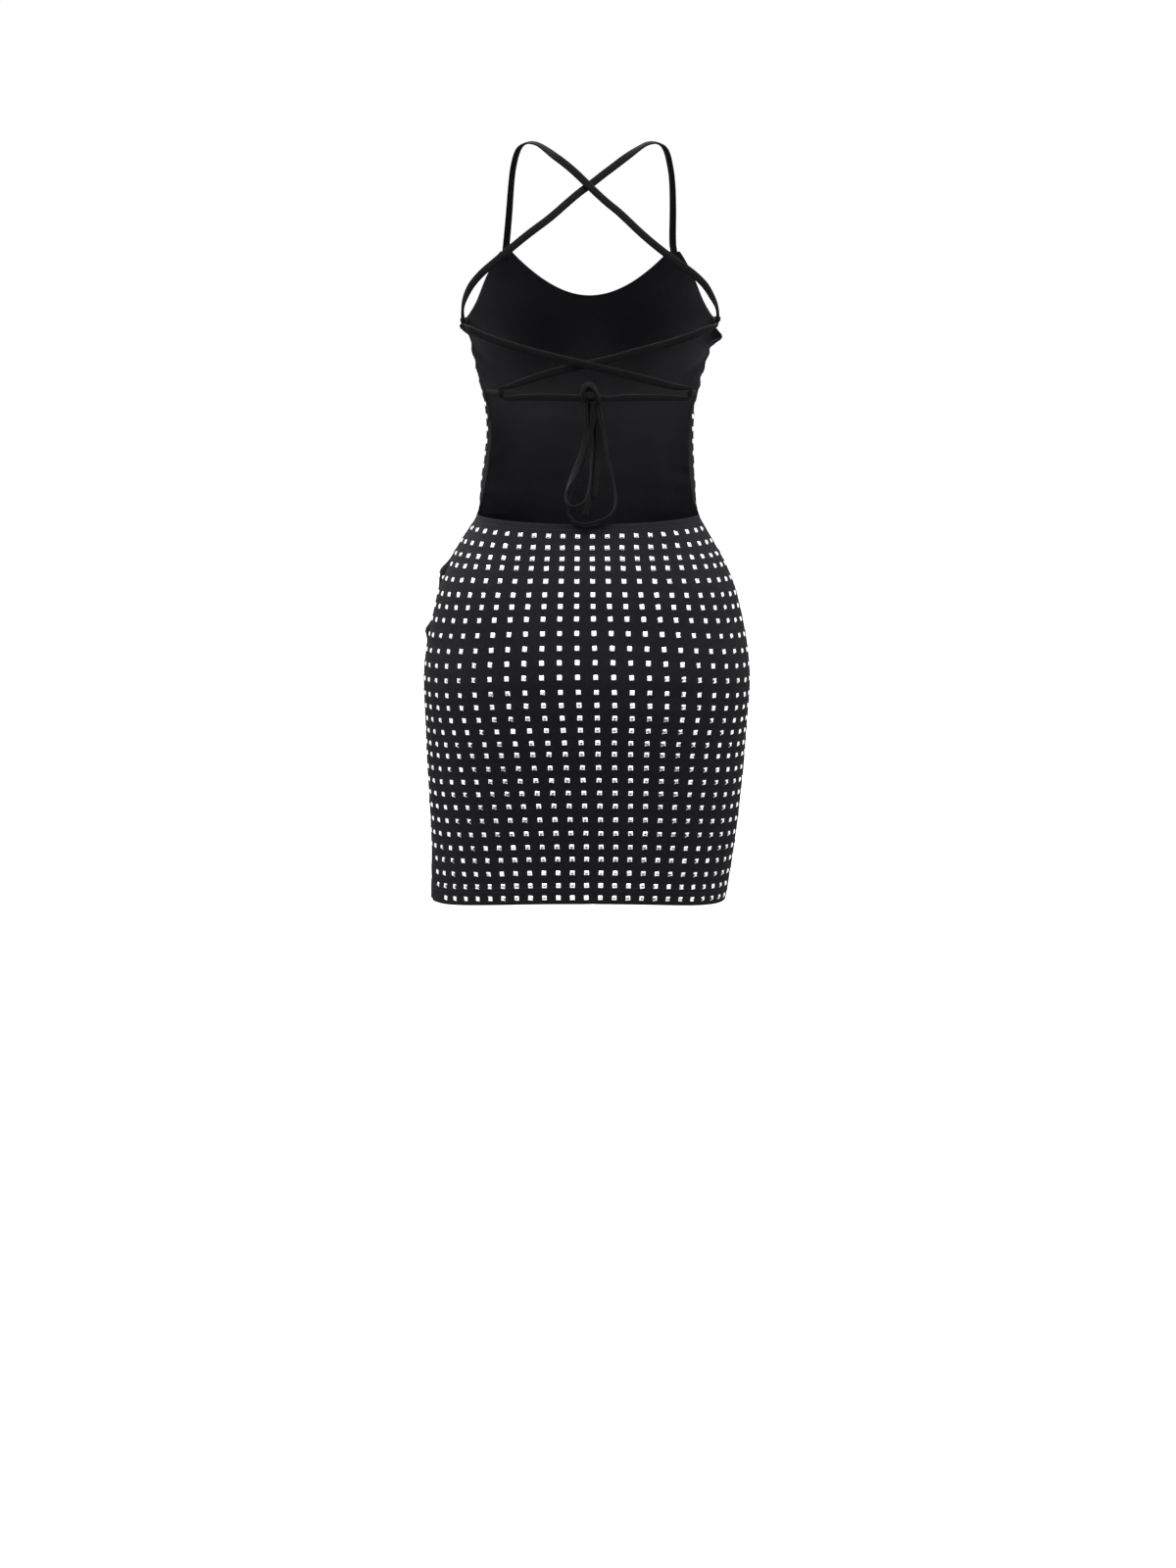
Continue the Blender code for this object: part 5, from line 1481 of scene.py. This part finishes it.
STUD_SPOTS = {"front": front_stud_spots, "back": back_stud_spots}
STITCH_ROUTES = {"front": front_stitch_routes, "back": back_stitch_routes}
SEWN_ON = table(
    "name cloth places sides",
    ("front", "front_cloth", "front", (-1, 1)),
    ("back_left", "back_skirt_left_cloth", "back", (1,)),
    ("back_right", "back_skirt_right_cloth", "back", (-1,)),
)


# ---------------------------------------------------------------- operators
class DRESS_OT_camera(bpy.types.Operator):
    """Set the camera behind the dress, looking a little down on it"""
    bl_idname = "dress.camera"
    bl_label = "Camera"

    def execute(self, context):
        stage = context.scene.dress_stage
        data = bpy.data.cameras.new("studio_camera")
        data.lens = stage.lens
        data.sensor_width = FILM_WIDTH
        data.clip_end = SIGHT_END
        camera = bpy.data.objects.new("studio_camera", data)
        camera.location = (0.0, stage.distance, stage.height)
        camera.rotation_euler = (0.5 * math.pi - stage.tilt, 0.0, math.pi)
        context.scene.collection.objects.link(camera)
        context.scene.camera = camera
        return {"FINISHED"}


class DRESS_OT_bow(bpy.types.Operator):
    """Tie the bow: two hanging loops, two free ends and the knot"""
    bl_idname = "dress.bow"
    bl_label = "Bow"

    def execute(self, context):
        lace = context.scene.dress_lace
        material = strap_material(context)
        for name, route in BOW.items():
            piece, path = lace_piece(name + "_lace", bow_rows(route), material, lace)
            hand_over(piece, name)
        hand_over(knot_piece("bow_knot_lace", material, lace), "bow_knot")
        return {"FINISHED"}


class DRESS_OT_straps(bpy.types.Operator):
    """Lace the two straps through their four loops"""
    bl_idname = "dress.straps"
    bl_label = "Straps and loops"

    def execute(self, context):
        lace = context.scene.dress_lace
        material = strap_material(context)
        for name, side, route in (("strap_left", 1, STRAP_LEFT), ("strap_right", -1, STRAP_RIGHT)):
            piece, _ = lace_piece(name + "_lace", strap_rows(side, route), material, lace)
            hand_over(piece, name)
        for name, side, strap_angle, height in LOOPS:
            points, rows = loop_shape(side, strap_angle, height)
            columns = len(points) // rows
            piece = new_piece(name + "_band", points, grid_faces(rows - 1, columns, closed=True),
                              material, grid_places(rows, columns, 0.0006))
            wall = piece.modifiers.new("wall", "SOLIDIFY")
            wall.thickness = LOOP_WALL
            wall.offset = 0.0
            hand_over(piece, name)
        return {"FINISHED"}


class DRESS_OT_front(bpy.types.Operator):
    """Cut the front in one from the neckline to the hem"""
    bl_idname = "dress.front"
    bl_label = "Front"

    def execute(self, context):
        cloth = context.scene.dress_cloth
        shares = self.column_shares(cloth.grid)
        halves = []
        for side, share in ((-1, shares[:0:-1]), (1, shares)):
            height = self.row_heights(share, cloth.grid)
            places, turned, along = front_surface(
                side, np.broadcast_to(share, height.shape).ravel(), height.ravel(), cloth)
            rows = np.column_stack((places, along, height.ravel(), turned))
            halves.append(rows.reshape(*height.shape, -1))
        rows = np.concatenate(halves, 1)
        columns = rows.shape[1]
        rows = rows.reshape(-1, rows.shape[-1])
        piece = cloth_panel("front_cloth", rows[:, :3], rows[:, 3:5], rows[:, 5], columns,
                            panel_material(context), cloth)
        hand_over(piece, "front_panel")
        return {"FINISHED"}

    def column_shares(self, grid):
        """Shares from the centre to a side edge: even, close together at the edge."""
        inner, outer = CORNER_SHARES
        edge = 1.0 - packed(HALF_FRONT, grid)[5::-1] / HALF_FRONT
        stops = (0.0, inner, outer, edge[0])
        parts = [np.linspace(a, b, max(2, round((b - a) * HALF_FRONT / grid)), endpoint=False)
                 for a, b in zip(stops, stops[1:])]
        return np.concatenate((*parts, edge))

    def row_heights(self, shares, grid):
        """Heights of the grid's points: even rows, close together at top and hem."""
        top = front_top(shares)
        rows = [top - step for step in packed(0.05, grid)[:6]]
        for end, count in ((-0.205, 9), (-0.268, 17), (WAIST_HEIGHT, 28)):
            start = rows[-1]
            rows += [start + (end - start) * (i + 1) / count for i in range(count)]
        skirt = packed(SKIRT_LENGTH, grid)
        rows += [np.full_like(top, WAIST_HEIGHT - step) for step in skirt[1:]]
        return np.array(rows)


class DRESS_OT_back(bpy.types.Operator):
    """Cut the two halves of the skirt's back"""
    bl_idname = "dress.back"
    bl_label = "Skirt back"

    def execute(self, context):
        cloth = context.scene.dress_cloth
        downs = packed(SKIRT_LENGTH, cloth.grid) / SKIRT_LENGTH
        wide = back_arcs(1, 0.5)[1][-1]
        parts = packed(wide, cloth.grid) / wide
        for name, side in (("back_skirt_left", 1), ("back_skirt_right", -1)):
            points, uvs, turned = [], [], []
            for down in downs:
                angles, arcs = back_arcs(side, down)
                along = parts * arcs[-1]
                angle = np.interp(along, arcs, angles)
                if side > 0:
                    angle, along = angle[::-1], along[::-1]
                places, turn = back_surface(side, down, angle, along, arcs[-1], cloth)
                points.append(places)
                turned.append(turn)
                uvs.append(np.stack((side * along, places[:, 2]), -1))
            piece = cloth_panel(
                name + "_cloth", *map(np.concatenate, (points, uvs, turned)), len(parts),
                panel_material(context), cloth)
            hand_over(piece, name)
        return {"FINISHED"}


class DRESS_OT_studs(bpy.types.Operator):
    """Set the rows of square metal studs"""
    bl_idname = "dress.studs"
    bl_label = "Studs"

    def execute(self, context):
        studs = context.scene.dress_studs
        material = stud_material(studs.colour)
        template = stud_template(studs.width, studs.rise)
        random = np.random.default_rng(studs.seed)
        for name, cloth_name, places, sides in SEWN_ON:
            spots = [s for side in sides for s in STUD_SPOTS[places](side, studs)]
            frames = stud_frames(surface_tree(cloth_name), spots, studs, random)
            hand_over(scatter(name + "_studs", template, frames, material))
        return {"FINISHED"}


class DRESS_OT_stitches(bpy.types.Operator):
    """Sew the hem, the edges and the slit"""
    bl_idname = "dress.stitches"
    bl_label = "Stitches"

    def execute(self, context):
        cloth, lace = context.scene.dress_cloth, context.scene.dress_lace
        material = thread_material(lace.thread)
        template = stitch_template(lace.stitch)
        for name, cloth_name, places, sides in SEWN_ON:
            tree = surface_tree(cloth_name)
            frames = [frame for side in sides for route in STITCH_ROUTES[places](side, cloth)
                      for frame in stitch_line(tree, route, lace)]
            hand_over(scatter(name + "_stitches", template, frames, material))
        return {"FINISHED"}


class DRESS_OT_stage(bpy.types.Operator):
    """Lay the plain pale floor and set the soft studio lights"""
    bl_idname = "dress.stage"
    bl_label = "Floor and lights"

    def execute(self, context):
        stage = context.scene.dress_stage
        context.scene.view_settings.view_transform = "Standard"
        self.lay_floor(stage)
        target = Vector(LIGHT_TARGET)
        for row in LIGHTS:
            place = Vector((row.x, row.y, row.z))
            turn = (target - place).to_track_quat("-Z", "Y").to_euler()
            light = self.add_light(context, row.name, "AREA", getattr(stage, row.power), turn)
            light.data.size = row.size
            light.location = place
        turn = (math.radians(SUN_TILT), 0.0, 0.0)
        light = self.add_light(context, "top_light", "SUN", stage.top, turn)
        light.data.angle = math.radians(SUN_SPREAD)
        self.set_studio(context, stage.sky, stage.gloss)
        return {"FINISHED"}

    def lay_floor(self, stage):
        level = HEM_HEIGHT - stage.drop
        corners = [(x * FLOOR_HALF, y * FLOOR_HALF, level)
                   for x, y in ((-1, -1), (1, -1), (1, 1), (-1, 1))]
        material, tree, shader = base_material("pale_floor", Roughness=0.9)
        place = add_node(tree, "TexCoord").outputs["Object"]
        cloud = group_node(
            tree, cloudiness_group(), Place=place, Broad=1.5, Fine=40.0, Low=0.98, High=1.02)
        tinted(tree, cloud[0], stage.floor, shader)
        floor = new_piece("studio_floor", corners, [(0, 1, 2, 3)], material, rounded=False)
        floor.visible_glossy = False
        floor.visible_diffuse = False

    def add_light(self, context, name, kind, energy, turn):
        data = bpy.data.lights.new(name, kind)
        data.energy = energy
        light = bpy.data.objects.new(name, data)
        light.rotation_euler = turn
        context.scene.collection.objects.link(light)
        return light

    def set_studio(self, context, sky, gloss):
        """White studio: white to the eye, soft light from above, dark bands in mirrors."""
        world = bpy.data.worlds.new("white_studio")
        world.use_nodes = True
        context.scene.world = world
        tree = world.node_tree
        maths = partial(math_node, tree)
        background = tree.nodes["Background"]
        background.inputs["Color"].default_value = (1.0, 1.0, 1.0, 1.0)
        place = add_node(tree, "TexCoord").outputs["Generated"]
        split = add_node(tree, "SeparateXYZ", Vector=place).outputs
        ramp = tree.nodes.new("ShaderNodeValToRGB")
        elements = ramp.color_ramp.elements
        while len(elements) < len(STUDIO_SHADES):
            elements.new(0.5)
        for element, row in zip(elements, STUDIO_SHADES):
            element.position = 0.5 + 0.5 * math.sin(math.radians(row.elevation))
            element.color = (row.shade, row.shade, row.shade, 1.0)
        feed(tree, maths("MULTIPLY_ADD", split["Z"], 0.5, 0.5), ramp.inputs["Fac"])
        first, last = STUDIO_SIDES
        beside = add_node(tree, "MapRange", Value=maths("ABSOLUTE", split["X"]),
                          From_Min=first, From_Max=last)
        rays = add_node(tree, "LightPath").outputs
        seen, glossy = rays["Is Camera Ray"], rays["Is Glossy Ray"]
        shade = maths("MULTIPLY", maths("MAXIMUM", ramp.outputs[0], beside.outputs[0]), gloss)
        softened = maths("MULTIPLY", maths("MULTIPLY_ADD", split["Z"], *STUDIO_SOFT), sky)
        unseen = maths("SUBTRACT", maths("SUBTRACT", 1.0, seen), glossy)
        total = maths("ADD", maths("MULTIPLY", unseen, softened), maths("MULTIPLY", glossy, shade))
        feed(tree, maths("ADD", total, seen), background.inputs["Strength"])


class VIEW3D_PT_dress(bpy.types.Panel):
    """Sizes, colours and steps of the dress"""
    bl_label = "Bodycon Dress"
    bl_idname = "VIEW3D_PT_dress"
    bl_space_type = "VIEW_3D"
    bl_region_type = "UI"
    bl_category = "Dress"

    def draw(self, context):
        for label, settings in (
            ("Cloth", context.scene.dress_cloth),
            ("Studs", context.scene.dress_studs),
            ("Straps and thread", context.scene.dress_lace),
            ("Studio", context.scene.dress_stage),
        ):
            box = self.layout.box()
            box.label(text=label)
            for name in settings.__annotations__:
                box.prop(settings, name)
        for operator in OPERATORS:
            self.layout.operator(operator.bl_idname)


OPERATORS = (
    DRESS_OT_camera, DRESS_OT_bow, DRESS_OT_straps, DRESS_OT_front, DRESS_OT_back,
    DRESS_OT_studs, DRESS_OT_stitches, DRESS_OT_stage,
)
SETTINGS = {
    "dress_cloth": DressClothSettings,
    "dress_studs": DressStudSettings,
    "dress_lace": DressLaceSettings,
    "dress_stage": DressStageSettings,
}


def register():
    for group in (*SETTINGS.values(), *OPERATORS, VIEW3D_PT_dress):
        bpy.utils.register_class(group)
    for name, group in SETTINGS.items():
        setattr(bpy.types.Scene, name, PointerProperty(type=group))


def unregister():
    for name in SETTINGS:
        delattr(bpy.types.Scene, name)
    for group in (VIEW3D_PT_dress, *reversed(OPERATORS), *reversed(SETTINGS.values())):
        bpy.utils.unregister_class(group)


def main():
    register()
    for operator in OPERATORS:
        name = operator.bl_idname.split(".")[1]
        getattr(bpy.ops.dress, name)()


if __name__ == "__main__":
    main()
